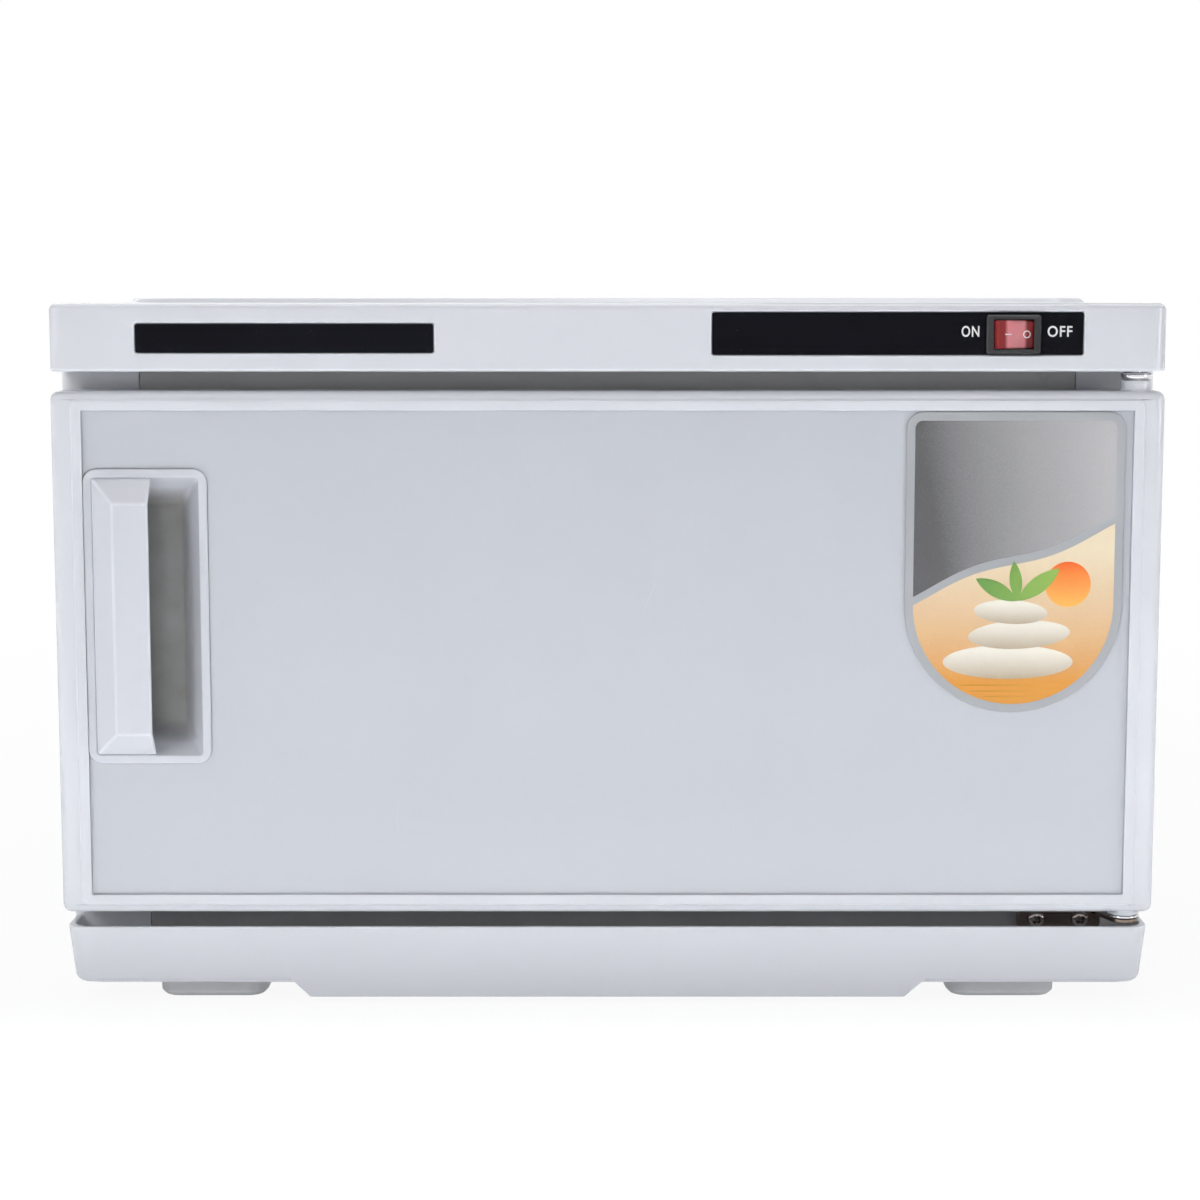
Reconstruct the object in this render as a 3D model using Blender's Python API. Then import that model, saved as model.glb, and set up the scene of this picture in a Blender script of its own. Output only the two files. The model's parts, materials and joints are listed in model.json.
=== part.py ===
"""A countertop hot towel cabinet, built up from its separate pieces.

Metres, +Z up. +X is to the right of someone facing the door, and the door faces -Y.
The origin is on the table, under the middle of the whole cabinet, grip included.
"""

import math

import bmesh
import bpy
from mathutils import Matrix, Vector

# Overall size
CABINET_WIDTH = 0.442
CABINET_DEPTH = 0.316
CASING_HEIGHT = 0.2303
OVERHANG = 0.022

# Clearances
SEAT_GAP = 0.0003
OVERRUN = 0.004
JOIN_OVERLAP = 0.0005
SAME_PLACE = 0.0001

# Base tray
BASE_CLEARANCE = 0.0075
BASE_HEIGHT = 0.0244
BASE_SIDE_INSET = 0.0015
BASE_DRAFT = 0.002
BASE_EDGE_WIDTH = 0.004
BASE_EDGE_HEIGHT = 0.0033
BASE_CORNER_RADIUS = 0.007
BASE_WALL = 0.0025
GUTTER_DEPTH = 0.0066
SKIRT_DROP = 0.0052
SKIRT_HALF_WIDTH = 0.121
SKIRT_TAPER = 0.009
SKIRT_THICKNESS = 0.003
SKIRT_SETBACK = 0.0001
BOSS_RADIUS = 0.005
COVER_RECESS = 0.0025

# Feet
FOOT_WIDTH = 0.0444
FOOT_DEPTH = 0.038
FOOT_CORNER_RADIUS = 0.008
FOOT_EDGE_RADIUS = 0.002
FOOT_SIDE_INSET = 0.059
FOOT_END_INSET = 0.0295
FOOT_WELL_RADIUS = 0.0055
FOOT_WELL_DEPTH = 0.0045

# Casing sheets
SHEET = 0.0008
POST_WIDTH = 0.032
POST_RADIUS = 0.005
REAR_FLANGE_WIDTH = 0.018
REAR_SCREW_SHARE = 0.6
CASING_REAR_INSET = 0.004
REAR_PANEL_MARGIN = 0.005
VENT_COUNT = 5
VENT_OFFSET = 0.086
VENT_WIDTH = 0.046
VENT_HEIGHT = 0.003
VENT_PITCH = 0.008
VENT_TOP_INSET = 0.03
LEAD_HOLE_RADIUS = 0.006
LEAD_HOLE_INSET = 0.0085

# Front frame and heated chamber
FRAME_THICKNESS = 0.003
CHAMBER_SIDE_ROOM = 0.049
CHAMBER_LOWER_ROOM = 0.0297
CHAMBER_UPPER_ROOM = 0.0189
CHAMBER_REAR_ROOM = 0.0367
CHAMBER_CORNER_RADIUS = 0.004
LINER_WALL = 0.001
LINER_FLANGE = 0.010
RAIL_WIDTH = 0.008
RAIL_RISE = 0.021
RAIL_END_INSET = 0.010

# Rack and drip tray
TRAY_HEIGHT = 0.012
TRAY_WALL = 0.001
TRAY_SIDE_GAP = 0.0075
TRAY_CORNER_RADIUS = 0.008
RACK_SIDE_GAP = 0.0015
RACK_WIRE_RADIUS = 0.0015
RACK_CROSS_RADIUS = 0.00135
RACK_BRACE_RADIUS = 0.00142
RACK_CORNER_RADIUS = 0.010
RACK_WIRE_COUNT = 11

# Insulation, heater and wiring
INSULATION_FRONT_GAP = 0.0068
INSULATION_TOP_THICKNESS = 0.013
INSULATION_REAR_THICKNESS = 0.020
INSULATION_REAR_RISE = 0.060
HEATER_THICKNESS = 0.002
HEATER_SIDE_GAP = 0.022
HEATER_TAIL = 0.004
THERMOSTAT_RADIUS = 0.008
THERMOSTAT_DEPTH = 0.009
THERMOSTAT_NECK_RADIUS = 0.006
THERMOSTAT_CUP_DEPTH = 0.0045
THERMOSTAT_OFFSET = 0.060
SENSOR_RISE = 0.030
FUSE_RADIUS = 0.003
FUSE_LENGTH = 0.016
FUSE_TIP_RADIUS = 0.0018
FUSE_TIP_LENGTH = 0.0016
TERMINAL_WIDTH = 0.040
TERMINAL_DEPTH = 0.014
TERMINAL_HEIGHT = 0.014
TERMINAL_RIB = 0.002
TERMINAL_WAYS = 3
TERMINAL_WELL_DEPTH = 0.004
TERMINAL_INSET = 0.090
LEAD_RADIUS = 0.0012
LEAD_SPACING = 0.005
LEAD_RISE = 0.006
LEAD_LIFT = 0.012
LEAD_EASE = 0.018
LEAD_DESCENT = 0.036

# Cord gland
GLAND_BORE_RADIUS = 0.0036
GLAND_BODY_RADIUS = 0.0065
GLAND_FLANGE_RADIUS = 0.010
GLAND_INNER_DEPTH = 0.006
GLAND_CHAMFER = 0.0015
GLAND_SIDE_INSET = 0.065
GLAND_RISE = 0.040

# Lid
LID_HEIGHT = 0.0268
LID_WALL = 0.0025
LID_CORNER_RADIUS = 0.006
LID_EDGE_RADIUS = 0.0025
LID_LOWER_EDGE = 0.0006
LID_LIP = 0.0023
LID_LIP_WIDTH = 0.0018
LID_FLOOR = 0.002
PLATEAU_RISE = 0.002
PLATEAU_INSET = 0.025
PLATEAU_SLOPE = 0.002
PLATEAU_RADIUS = 0.018

# Black strips on the lid
STRIP_THICKNESS = 0.0006
STRIP_RECESS = 0.0013
STRIP_CORNER_RADIUS = 0.001
TITLE_STRIP_WIDTH = 0.1181
TITLE_STRIP_HEIGHT = 0.0119
TITLE_STRIP_INSET = 0.0345
TITLE_STRIP_RISE = 0.0071
CONTROL_STRIP_WIDTH = 0.1468
CONTROL_STRIP_HEIGHT = 0.0172
CONTROL_STRIP_INSET = 0.0333
CONTROL_STRIP_RISE = 0.0063

# Rocker switch
SWITCH_INSET = 0.06125
SWITCH_RISE = 0.0146
SWITCH_BEZEL_WIDTH = 0.0215
SWITCH_BEZEL_HEIGHT = 0.0152
SWITCH_BEZEL_PROUD = 0.0018
SWITCH_BEZEL_RADIUS = 0.001
SWITCH_BODY_WIDTH = 0.0198
SWITCH_BODY_HEIGHT = 0.0132
SWITCH_BODY_DEPTH = 0.019
SWITCH_WINDOW_WIDTH = 0.0157
SWITCH_WINDOW_HEIGHT = 0.0117
SWITCH_TERMINAL_WIDTH = 0.0008
SWITCH_TERMINAL_HEIGHT = 0.0048
SWITCH_TERMINAL_LENGTH = 0.007
SWITCH_TERMINAL_SPACING = 0.007
ROCKER_RADIUS = 0.009
ROCKER_EDGE_DEPTH = 0.005
ROCKER_DISH = 0.0012
ROCKER_TILT = math.radians(12)

# Door
DOOR_THICKNESS = 0.018
DOOR_LOWER_GAP = 0.0056
DOOR_UPPER_GAP = 0.0077
DOOR_EDGE_RADIUS = 0.0035
DOOR_WALL = 0.0025
DOOR_HINGE_WALL = 0.0065
DOOR_SIDE_RIM = 0.0085
DOOR_END_RIM = 0.0037
DOOR_LEDGE = 0.004
DOOR_STEP = 0.0008
DOOR_PANEL_DROP = 0.0018
DOOR_PANEL_THICKNESS = 0.002
DOOR_PLATE = 0.002
DOOR_LINER = 0.001
DOOR_LINER_RISE = 0.003
DOOR_LINER_MARGIN = 0.0035
DOOR_LINER_DRAFT = 0.0004
DOOR_BLOCK_WIDTH = 0.016
DOOR_BLOCK_HEIGHT = 0.022
GASKET_WIDTH = 0.008
GASKET_SIDE_INSET = 0.0035
GASKET_HINGE_INSET = 0.018
GASKET_CORNER_RADIUS = 0.006

# Handle
HANDLE_WIDTH = 0.0492
HANDLE_HEIGHT = 0.1183
HANDLE_RISE = 0.01535
HANDLE_RADIUS = 0.0055
HANDLE_PROUD = 0.0012
HANDLE_BORDER = 0.0036
HANDLE_BODY_INSET = 0.0024
HANDLE_BODY_DEPTH = 0.015
HANDLE_WALL = 0.0016
GRIP_PROUD = 0.008
GRIP_WIDTH = 0.0235
GRIP_FACET = 0.0095
GRIP_THICKNESS = 0.0026
POCKET_SLOPE = 0.0065
POCKET_END_SLOPE = 0.009
POCKET_SHOULDER = 0.0014

# Label on the door
LABEL_WIDTH = 0.0868
LABEL_HEIGHT = 0.1203
LABEL_THICKNESS = 0.0005
LABEL_CORNER_RADIUS = 0.0065
LABEL_SIDE_INSET = 0.0032
LABEL_TOP_INSET = 0.0006

# Hinges
HINGE_SIDE_INSET = 0.0105
HINGE_DEPTH = 0.0095
PIN_RADIUS = 0.0025
BUSH_RADIUS = 0.004
BUSH_LENGTH = 0.0165
DOOR_BOSS_RADIUS = 0.006
UPPER_BOSS_HEIGHT = 0.004
LOWER_BOSS_HEIGHT = 0.0018
WASHER_RADIUS = 0.0062
LOWER_WASHER_THICKNESS = 0.001
BRACKET_THICKNESS = 0.0015
UPPER_BRACKET_THICKNESS = 0.002
BRACKET_EYE_RADIUS = 0.0062
BRACKET_PLATE_WIDTH = 0.0344
BRACKET_PLATE_INSET = 0.0174
BRACKET_PLATE_CLEARANCE = 0.0011
BRACKET_CORNER_RADIUS = 0.0015
BRACKET_ROOT_WIDTH = 0.0042
UPPER_BRACKET_LENGTH = 0.048
UPPER_BRACKET_WIDTH = 0.020

# Screws
SCREW_SHANK_RADIUS = 0.0015
SCREW_HEAD_RADIUS = 0.0034
SCREW_HEAD_HEIGHT = 0.0018
SCREW_SLOT_WIDTH = 0.001
SCREW_SLOT_DEPTH = 0.0009
SCREW_SLOT_SHARE = 0.6
SCREW_CROWN_SHARE = 0.55
HINGE_SCREW_SPACING = 0.018
HINGE_SCREW_INSET = 0.0079
HINGE_SCREW_DROP = 0.0036
UPPER_SCREW_SPACING = 0.014
UPPER_SCREW_INSET = 0.007
HINGE_SCREW_GRIP = 0.0045
FOOT_SCREW_GRIP = 0.012
REAR_SCREW_GRIP = 0.003
REAR_SCREW_INSET = 0.022
FOOT_SCREW_HEAD_RADIUS = 0.0042

# Facets of round shapes
ROUND_SIDES = 24
SMALL_ROUND_SIDES = 12
WIRE_BEVEL_STEPS = 2
CORNER_STEPS = 4
SMOOTH_ANGLE = math.radians(35)

# How far in from both edges the middle of a quarter round lies, as a share of its radius
ARC_SHARE = 1 - math.sqrt(0.5)

# Places worked out from the sizes above
HALF_WIDTH = CABINET_WIDTH / 2
FRONT = (GRIP_PROUD - CABINET_DEPTH) / 2
REAR = FRONT + CABINET_DEPTH
BODY_FRONT = FRONT + OVERHANG
BODY_REAR = REAR - CASING_REAR_INSET
COVER_BOTTOM = BASE_CLEARANCE + COVER_RECESS
COVER_TOP = COVER_BOTTOM + SHEET
FOOT_TOP = COVER_BOTTOM - SEAT_GAP
LIP_TOP = BASE_CLEARANCE + BASE_HEIGHT
DECK_TOP = LIP_TOP - GUTTER_DEPTH
DECK_BOTTOM = DECK_TOP - BASE_WALL
CASING_BOTTOM = DECK_TOP + SEAT_GAP
CASING_TOP = CASING_BOTTOM + CASING_HEIGHT
LID_BOTTOM = CASING_TOP + SEAT_GAP
LID_EDGE_TOP = LID_BOTTOM + LID_HEIGHT
LID_TOP = LID_EDGE_TOP + PLATEAU_RISE
CHAMBER_SIDE = HALF_WIDTH - CHAMBER_SIDE_ROOM
CHAMBER_BOTTOM = DECK_TOP + CHAMBER_LOWER_ROOM
CHAMBER_TOP = CASING_TOP - CHAMBER_UPPER_ROOM
CHAMBER_FRONT = BODY_FRONT + FRAME_THICKNESS + SEAT_GAP
CHAMBER_REAR = BODY_REAR - CHAMBER_REAR_ROOM
DOOR_BOTTOM = LIP_TOP + DOOR_LOWER_GAP
DOOR_TOP = LID_BOTTOM - DOOR_UPPER_GAP
DOOR_REAR = FRONT + DOOR_THICKNESS
HINGE_X = HALF_WIDTH - HINGE_SIDE_INSET
HINGE_Y = FRONT + HINGE_DEPTH
UPPER_BRACKET_BOTTOM = LID_BOTTOM
UPPER_WASHER_TOP = CASING_TOP
LOWER_BOSS_BOTTOM = DOOR_BOTTOM - LOWER_BOSS_HEIGHT
LOWER_WASHER_BOTTOM = LOWER_BOSS_BOTTOM - SEAT_GAP - LOWER_WASHER_THICKNESS
LOWER_BRACKET_TOP = LOWER_WASHER_BOTTOM - SEAT_GAP
PANEL_LEFT = -HALF_WIDTH + DOOR_SIDE_RIM + DOOR_LEDGE
PANEL_RIGHT = -PANEL_LEFT
PANEL_BOTTOM = DOOR_BOTTOM + DOOR_END_RIM + DOOR_LEDGE
PANEL_TOP = DOOR_TOP - DOOR_END_RIM - DOOR_LEDGE
DOOR_RIM_FRONT = FRONT + DOOR_STEP
PANEL_FRONT = FRONT + DOOR_PANEL_DROP
PANEL_REAR = PANEL_FRONT + DOOR_PANEL_THICKNESS
PLATE_FRONT = PANEL_REAR + SEAT_GAP
PLATE_REAR = PLATE_FRONT + DOOR_PLATE
HANDLE_LEFT = PANEL_LEFT
HANDLE_RIGHT = HANDLE_LEFT + HANDLE_WIDTH
HANDLE_BOTTOM = (DOOR_BOTTOM + DOOR_TOP - HANDLE_HEIGHT) / 2 + HANDLE_RISE
HANDLE_TOP = HANDLE_BOTTOM + HANDLE_HEIGHT
HANDLE_FRONT = PANEL_FRONT - HANDLE_PROUD
HANDLE_REAR = FRONT + HANDLE_BODY_DEPTH
SWITCH_X = HALF_WIDTH - SWITCH_INSET
SWITCH_Z = LID_BOTTOM + SWITCH_RISE
SWITCH_FRONT = FRONT + STRIP_RECESS - SEAT_GAP - STRIP_THICKNESS - SEAT_GAP - SWITCH_BEZEL_PROUD
SWITCH_REAR = SWITCH_FRONT + SWITCH_BODY_DEPTH
ROCKER_Y = SWITCH_FRONT + ROCKER_EDGE_DEPTH

# Colour (red, green, blue), roughness and metallic value of each finish
FINISHES = {
    "white_plastic": ((0.80, 0.82, 0.86), 0.30, 0.0),
    "white_paint": ((0.78, 0.80, 0.83), 0.40, 0.0),
    "white_panel": ((0.74, 0.76, 0.80), 0.18, 0.0),
    "grey_rubber": ((0.40, 0.41, 0.43), 0.70, 0.0),
    "grey_gasket": ((0.55, 0.56, 0.58), 0.65, 0.0),
    "black_gloss": ((0.012, 0.012, 0.014), 0.12, 0.0),
    "black_plastic": ((0.02, 0.02, 0.022), 0.35, 0.0),
    "red_plastic": ((0.60, 0.03, 0.04), 0.15, 0.0),
    "chrome": ((0.80, 0.80, 0.82), 0.12, 1.0),
    "aluminium": ((0.77, 0.78, 0.79), 0.35, 1.0),
    "zinc": ((0.62, 0.63, 0.64), 0.40, 1.0),
    "foam": ((0.72, 0.68, 0.52), 0.90, 0.0),
    "heater_silicone": ((0.45, 0.10, 0.05), 0.60, 0.0),
    "nylon": ((0.75, 0.75, 0.70), 0.45, 0.0),
    "wire_blue": ((0.05, 0.12, 0.40), 0.45, 0.0),
    "label_print": ((0.62, 0.50, 0.36), 0.35, 0.0),
}


def clear_scene():
    """Remove every object that the file opened with."""
    for item in list(bpy.data.objects):
        bpy.data.objects.remove(item, do_unlink=True)


def material(finish):
    """Return the finish's material, made on first use."""
    found = bpy.data.materials.get(finish)
    if found:
        return found
    colour, roughness, metallic = FINISHES[finish]
    made = bpy.data.materials.new(finish)
    made.use_nodes = True
    shader = made.node_tree.nodes["Principled BSDF"]
    shader.inputs["Base Color"].default_value = (*colour, 1)
    shader.inputs["Roughness"].default_value = roughness
    shader.inputs["Metallic"].default_value = metallic
    made.diffuse_color = (*colour, 1)
    return made


# Making shapes


def piece_from(name, shape, finish=None):
    """Turn a bmesh into a named object with its faces pointing out."""
    bmesh.ops.recalc_face_normals(shape, faces=shape.faces)
    mesh = bpy.data.meshes.new(name)
    shape.to_mesh(mesh)
    shape.free()
    piece = bpy.data.objects.new(name, mesh)
    bpy.context.scene.collection.objects.link(piece)
    if finish:
        mesh.materials.append(material(finish))
    return piece


def along(axis, across, up, depth):
    """Place an outline's point, at a depth along the axis it is drawn square to."""
    if axis == "x":
        return (depth, across, up)
    if axis == "y":
        return (across, depth, up)
    return (across, up, depth)


def loft(name, loops, finish=None):
    """Skin a stack of loops with the same number of points, and cap both ends."""
    shape = bmesh.new()
    rings = [[shape.verts.new(point) for point in loop] for loop in loops]
    count = len(rings[0])
    for lower, upper in zip(rings, rings[1:]):
        for here in range(count):
            after = (here + 1) % count
            shape.faces.new((lower[here], lower[after], upper[after], upper[here]))
    shape.faces.new(rings[0])
    shape.faces.new(rings[-1])
    return piece_from(name, shape, finish)


def prism(name, outline, axis, low, high, finish=None):
    """Extrude a flat outline along an axis."""
    loops = [[along(axis, across, up, depth) for across, up in outline] for depth in (low, high)]
    return loft(name, loops, finish)


def box(name, x_range, y_range, z_range, finish=None):
    """Make a square-edged block from its ranges."""
    (left, right), (front, rear), (bottom, top) = x_range, y_range, z_range
    outline = ((left, front), (right, front), (right, rear), (left, rear))
    return prism(name, outline, "z", bottom, top, finish)


def arc(centre, radius, start, end, steps):
    """Return the points of an arc, its angles in degrees."""
    points = []
    for step in range(steps + 1):
        angle = math.radians(start + (end - start) * step / steps)
        points.append((centre[0] + radius * math.cos(angle), centre[1] + radius * math.sin(angle)))
    return points


def rounded_rectangle(x_range, y_range, radius, steps=CORNER_STEPS):
    """Return a rectangle's outline with its four corners rounded."""
    (left, right), (low, high) = x_range, y_range
    centres = (
        (right - radius, high - radius),
        (left + radius, high - radius),
        (left + radius, low + radius),
        (right - radius, low + radius),
    )
    points = []
    for quarter, centre in enumerate(centres):
        points += arc(centre, radius, quarter * 90, quarter * 90 + 90, steps)
    return points


def facing(outline, depth):
    """Stand an outline that is seen from the front at a depth."""
    return [along("y", across, up, depth) for across, up in outline]


def level(outline, height):
    """Lift a flat outline to a height."""
    return [(across, up, height) for across, up in outline]


def turned(name, centre, axis, profile, finish=None, sides=ROUND_SIDES):
    """Turn a profile of (radius, place along the axis) pairs about a centre."""
    loops = []
    for radius, place in profile:
        ring = arc(centre, radius, 0, 360, sides)[:-1]
        loops.append([along(axis, across, up, place) for across, up in ring])
    return loft(name, loops, finish)


def cylinder(name, centre, axis, radius, low, high, finish=None, sides=ROUND_SIDES):
    """Make a plain cylinder."""
    return turned(name, centre, axis, ((radius, low), (radius, high)), finish, sides)


def about(middle, size):
    """Return the range of a size about a middle."""
    return (middle - size / 2, middle + size / 2)


def grown(span, amount):
    """Widen a range by the same amount at both ends."""
    return (span[0] - amount, span[1] + amount)


# Working on shapes


def settle(piece):
    """Replace an object's mesh with the result of its modifiers."""
    graph = bpy.context.evaluated_depsgraph_get()
    result = bpy.data.meshes.new_from_object(piece.evaluated_get(graph))
    piece.modifiers.clear()
    piece.data = result


def combine(piece, tools, operation):
    """Cut tools out of a piece, or join them to it, and remove the tools."""
    for tool in tools:
        step = piece.modifiers.new(operation.lower(), "BOOLEAN")
        step.operation = operation
        step.solver = "EXACT"
        step.object = tool
    settle(piece)
    for tool in tools:
        bpy.data.objects.remove(tool, do_unlink=True)
    return piece


def cut(piece, *tools):
    """Cut each tool out of the piece."""
    return combine(piece, tools, "DIFFERENCE")


def join(piece, *tools):
    """Join each tool to the piece as one body."""
    return combine(piece, tools, "UNION")


def round_edges(piece, radius, segments, chosen):
    """Round the edges whose two ends pass a test."""
    shape = bmesh.new()
    shape.from_mesh(piece.data)
    edges = [edge for edge in shape.edges if chosen(edge.verts[0].co, edge.verts[1].co)]
    bmesh.ops.bevel(shape, geom=edges, offset=radius, segments=segments, profile=0.5, affect="EDGES")
    shape.to_mesh(piece.data)
    shape.free()
    return piece


def near(value, place):
    """Tell whether a coordinate lies on a plane of the shape."""
    return abs(value - place) < SAME_PLACE


def finish_off(piece, origin=None):
    """Shade a piece smooth between its sharp edges, and give it its own origin."""
    piece.data.shade_smooth()
    piece.data.set_sharp_from_angle(angle=SMOOTH_ANGLE)
    corners = [Vector(corner) for corner in piece.bound_box]
    centre = (corners[0] + corners[6]) / 2
    place = Vector(origin) if origin else centre
    piece.data.transform(Matrix.Translation(-place))
    piece.location = place
    return piece


# Base, feet and bottom cover


def base_loop(inset, height, draft_share):
    """Return the base's outline at a height; the draft narrows it towards the table."""
    side = HALF_WIDTH - BASE_SIDE_INSET - inset - BASE_DRAFT * draft_share
    near_end = FRONT + inset + BASE_DRAFT * draft_share
    far_end = REAR - BASE_SIDE_INSET - inset - BASE_DRAFT * draft_share
    outline = rounded_rectangle((-side, side), (near_end, far_end), BASE_CORNER_RADIUS)
    return level(outline, height)


def foot_places():
    """Return each foot's name and the middle of its pad."""
    across = HALF_WIDTH - FOOT_SIDE_INSET
    places = []
    for end, lengthwise in (("front", FRONT + FOOT_END_INSET), ("rear", REAR - FOOT_END_INSET)):
        places.append((f"{end}_left", (-across, lengthwise)))
        places.append((f"{end}_right", (across, lengthwise)))
    return places


def make_base_tray():
    """Moulded tray: a deck with a skirt below it and a drip gutter along the front."""
    tray = loft(
        "base_tray",
        (
            base_loop(BASE_EDGE_WIDTH, BASE_CLEARANCE, 1),
            base_loop(BASE_EDGE_WIDTH * ARC_SHARE, BASE_CLEARANCE + BASE_EDGE_HEIGHT * ARC_SHARE, 1),
            base_loop(0, BASE_CLEARANCE + BASE_EDGE_HEIGHT, 1),
            base_loop(0, LIP_TOP, 0),
        ),
        "white_plastic",
    )
    skirt_outline = (
        (-SKIRT_HALF_WIDTH, BASE_CLEARANCE - SKIRT_DROP),
        (SKIRT_HALF_WIDTH, BASE_CLEARANCE - SKIRT_DROP),
        (SKIRT_HALF_WIDTH + SKIRT_TAPER, BASE_CLEARANCE + BASE_EDGE_HEIGHT),
        (-SKIRT_HALF_WIDTH - SKIRT_TAPER, BASE_CLEARANCE + BASE_EDGE_HEIGHT),
    )
    skirt_front = FRONT + BASE_DRAFT + SKIRT_SETBACK
    skirt_rear = skirt_front + BASE_EDGE_WIDTH + SKIRT_THICKNESS
    skirt = prism("skirt", skirt_outline, "y", skirt_front, skirt_rear)
    join(tray, skirt)

    gutter = loft("gutter", (base_loop(BASE_WALL, DECK_TOP, 0), base_loop(BASE_WALL, LIP_TOP + OVERRUN, 0)))
    seat = box(
        "seat",
        grown((-HALF_WIDTH, HALF_WIDTH), OVERRUN),
        (BODY_FRONT - SEAT_GAP, REAR + OVERRUN),
        (DECK_TOP, LIP_TOP + OVERRUN),
    )
    inside = BASE_WALL + BASE_EDGE_WIDTH
    hollow = loft("hollow", (base_loop(inside, -OVERRUN, 1), base_loop(inside, DECK_BOTTOM, 1)))
    cut(tray, gutter, seat, hollow)

    for name, place in foot_places():
        boss = cylinder("boss", place, "z", BOSS_RADIUS, COVER_TOP + SEAT_GAP, DECK_BOTTOM + JOIN_OVERLAP,
                        sides=SMALL_ROUND_SIDES)
        join(tray, boss)
        bore = cylinder("bore", place, "z", SCREW_SHANK_RADIUS + SEAT_GAP, COVER_BOTTOM,
                        screw_end_height() + SEAT_GAP, sides=SMALL_ROUND_SIDES)
        cut(tray, bore)
    return finish_off(tray)


def screw_end_height():
    """Return how high the foot screws reach."""
    return COVER_BOTTOM + FOOT_SCREW_GRIP - SEAT_GAP


def make_bottom_cover():
    """Sheet cover inside the skirt, under the deck."""
    inset = BASE_WALL + BASE_EDGE_WIDTH + SEAT_GAP
    cover = loft("bottom_cover", (base_loop(inset, COVER_BOTTOM, 1), base_loop(inset, COVER_TOP, 1)), "zinc")
    for name, place in foot_places():
        hole = cylinder("hole", place, "z", SCREW_SHANK_RADIUS + SEAT_GAP, COVER_BOTTOM - OVERRUN,
                        COVER_TOP + OVERRUN, sides=SMALL_ROUND_SIDES)
        cut(cover, hole)
    return finish_off(cover)


def make_foot(name, place):
    """Rubber pad with a well for its screw."""
    across, lengthwise = place
    x_range, y_range = about(across, FOOT_WIDTH), about(lengthwise, FOOT_DEPTH)
    small_x, small_y = grown(x_range, -FOOT_EDGE_RADIUS), grown(y_range, -FOOT_EDGE_RADIUS)
    small_radius = FOOT_CORNER_RADIUS - FOOT_EDGE_RADIUS
    pad = loft(
        f"foot_{name}",
        (
            level(rounded_rectangle(small_x, small_y, small_radius), 0),
            level(rounded_rectangle(x_range, y_range, FOOT_CORNER_RADIUS), FOOT_EDGE_RADIUS),
            level(rounded_rectangle(x_range, y_range, FOOT_CORNER_RADIUS), FOOT_TOP),
        ),
        "grey_rubber",
    )
    well = cylinder("well", place, "z", FOOT_WELL_RADIUS, -OVERRUN, FOOT_WELL_DEPTH, sides=SMALL_ROUND_SIDES)
    hole = cylinder("hole", place, "z", SCREW_SHANK_RADIUS + SEAT_GAP, 0, FOOT_TOP + OVERRUN,
                    sides=SMALL_ROUND_SIDES)
    return finish_off(cut(pad, well, hole))


def make_screw(name, centre, axis, seat, reach, head_radius=SCREW_HEAD_RADIUS):
    """Cross-head screw: its head rests on a seat, and its shank goes the way that reach points."""
    way = 1 if reach > 0 else -1
    low = seat - way * SEAT_GAP
    top = low - way * SCREW_HEAD_HEIGHT
    screw = turned(
        name,
        centre,
        axis,
        (
            (SCREW_SHANK_RADIUS, seat + reach),
            (SCREW_SHANK_RADIUS, low),
            (head_radius, low),
            (head_radius, (low + top) / 2),
            (head_radius * SCREW_CROWN_SHARE, top),
        ),
        "chrome",
        SMALL_ROUND_SIDES,
    )
    slot_end = sorted((top - way * OVERRUN, top + way * SCREW_SLOT_DEPTH))
    half_length = head_radius * SCREW_SLOT_SHARE
    half_width = SCREW_SLOT_WIDTH / 2
    for wide, tall in ((half_length, half_width), (half_width, half_length)):
        outline = (
            (centre[0] - wide, centre[1] - tall),
            (centre[0] + wide, centre[1] - tall),
            (centre[0] + wide, centre[1] + tall),
            (centre[0] - wide, centre[1] + tall),
        )
        cut(screw, prism("slot", outline, axis, *slot_end))
    return finish_off(screw)


def make_feet():
    """The four feet and their screws."""
    for name, place in foot_places():
        make_foot(name, place)
        make_screw(f"foot_screw_{name}", place, "z", FOOT_WELL_DEPTH, screw_end_height() - FOOT_WELL_DEPTH,
                   FOOT_SCREW_HEAD_RADIUS)


# Outer casing


def side_outline(side):
    """Return a side panel's plan: front post, rounded corner, side wall and rear flange."""
    outer = HALF_WIDTH
    inner = outer - SHEET
    centre = (outer - POST_RADIUS, BODY_FRONT + POST_RADIUS)
    rear_centre = (outer - POST_RADIUS, BODY_REAR - POST_RADIUS)
    points = [(outer - POST_WIDTH, BODY_FRONT)]
    points += arc(centre, POST_RADIUS, -90, 0, CORNER_STEPS)
    points += arc(rear_centre, POST_RADIUS, 0, 90, CORNER_STEPS)
    points += [(outer - REAR_FLANGE_WIDTH, BODY_REAR), (outer - REAR_FLANGE_WIDTH, BODY_REAR - SHEET)]
    points += arc(rear_centre, POST_RADIUS - SHEET, 90, 0, CORNER_STEPS)
    points += arc(centre, POST_RADIUS - SHEET, 0, -90, CORNER_STEPS)
    points += [(outer - POST_WIDTH, BODY_FRONT + SHEET)]
    return [(side * across, lengthwise) for across, lengthwise in points]


def bracket_plate_range():
    """Return the range across that the lower hinge's plate fills."""
    right = HALF_WIDTH - BRACKET_PLATE_INSET
    return (right - BRACKET_PLATE_WIDTH, right)


def hinge_screw_places():
    """Return where the two lower hinge screws sit, seen from the front."""
    left = bracket_plate_range()[0] + HINGE_SCREW_INSET
    height = LOWER_BRACKET_TOP - HINGE_SCREW_DROP
    return ((left, height), (left + HINGE_SCREW_SPACING, height))


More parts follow.
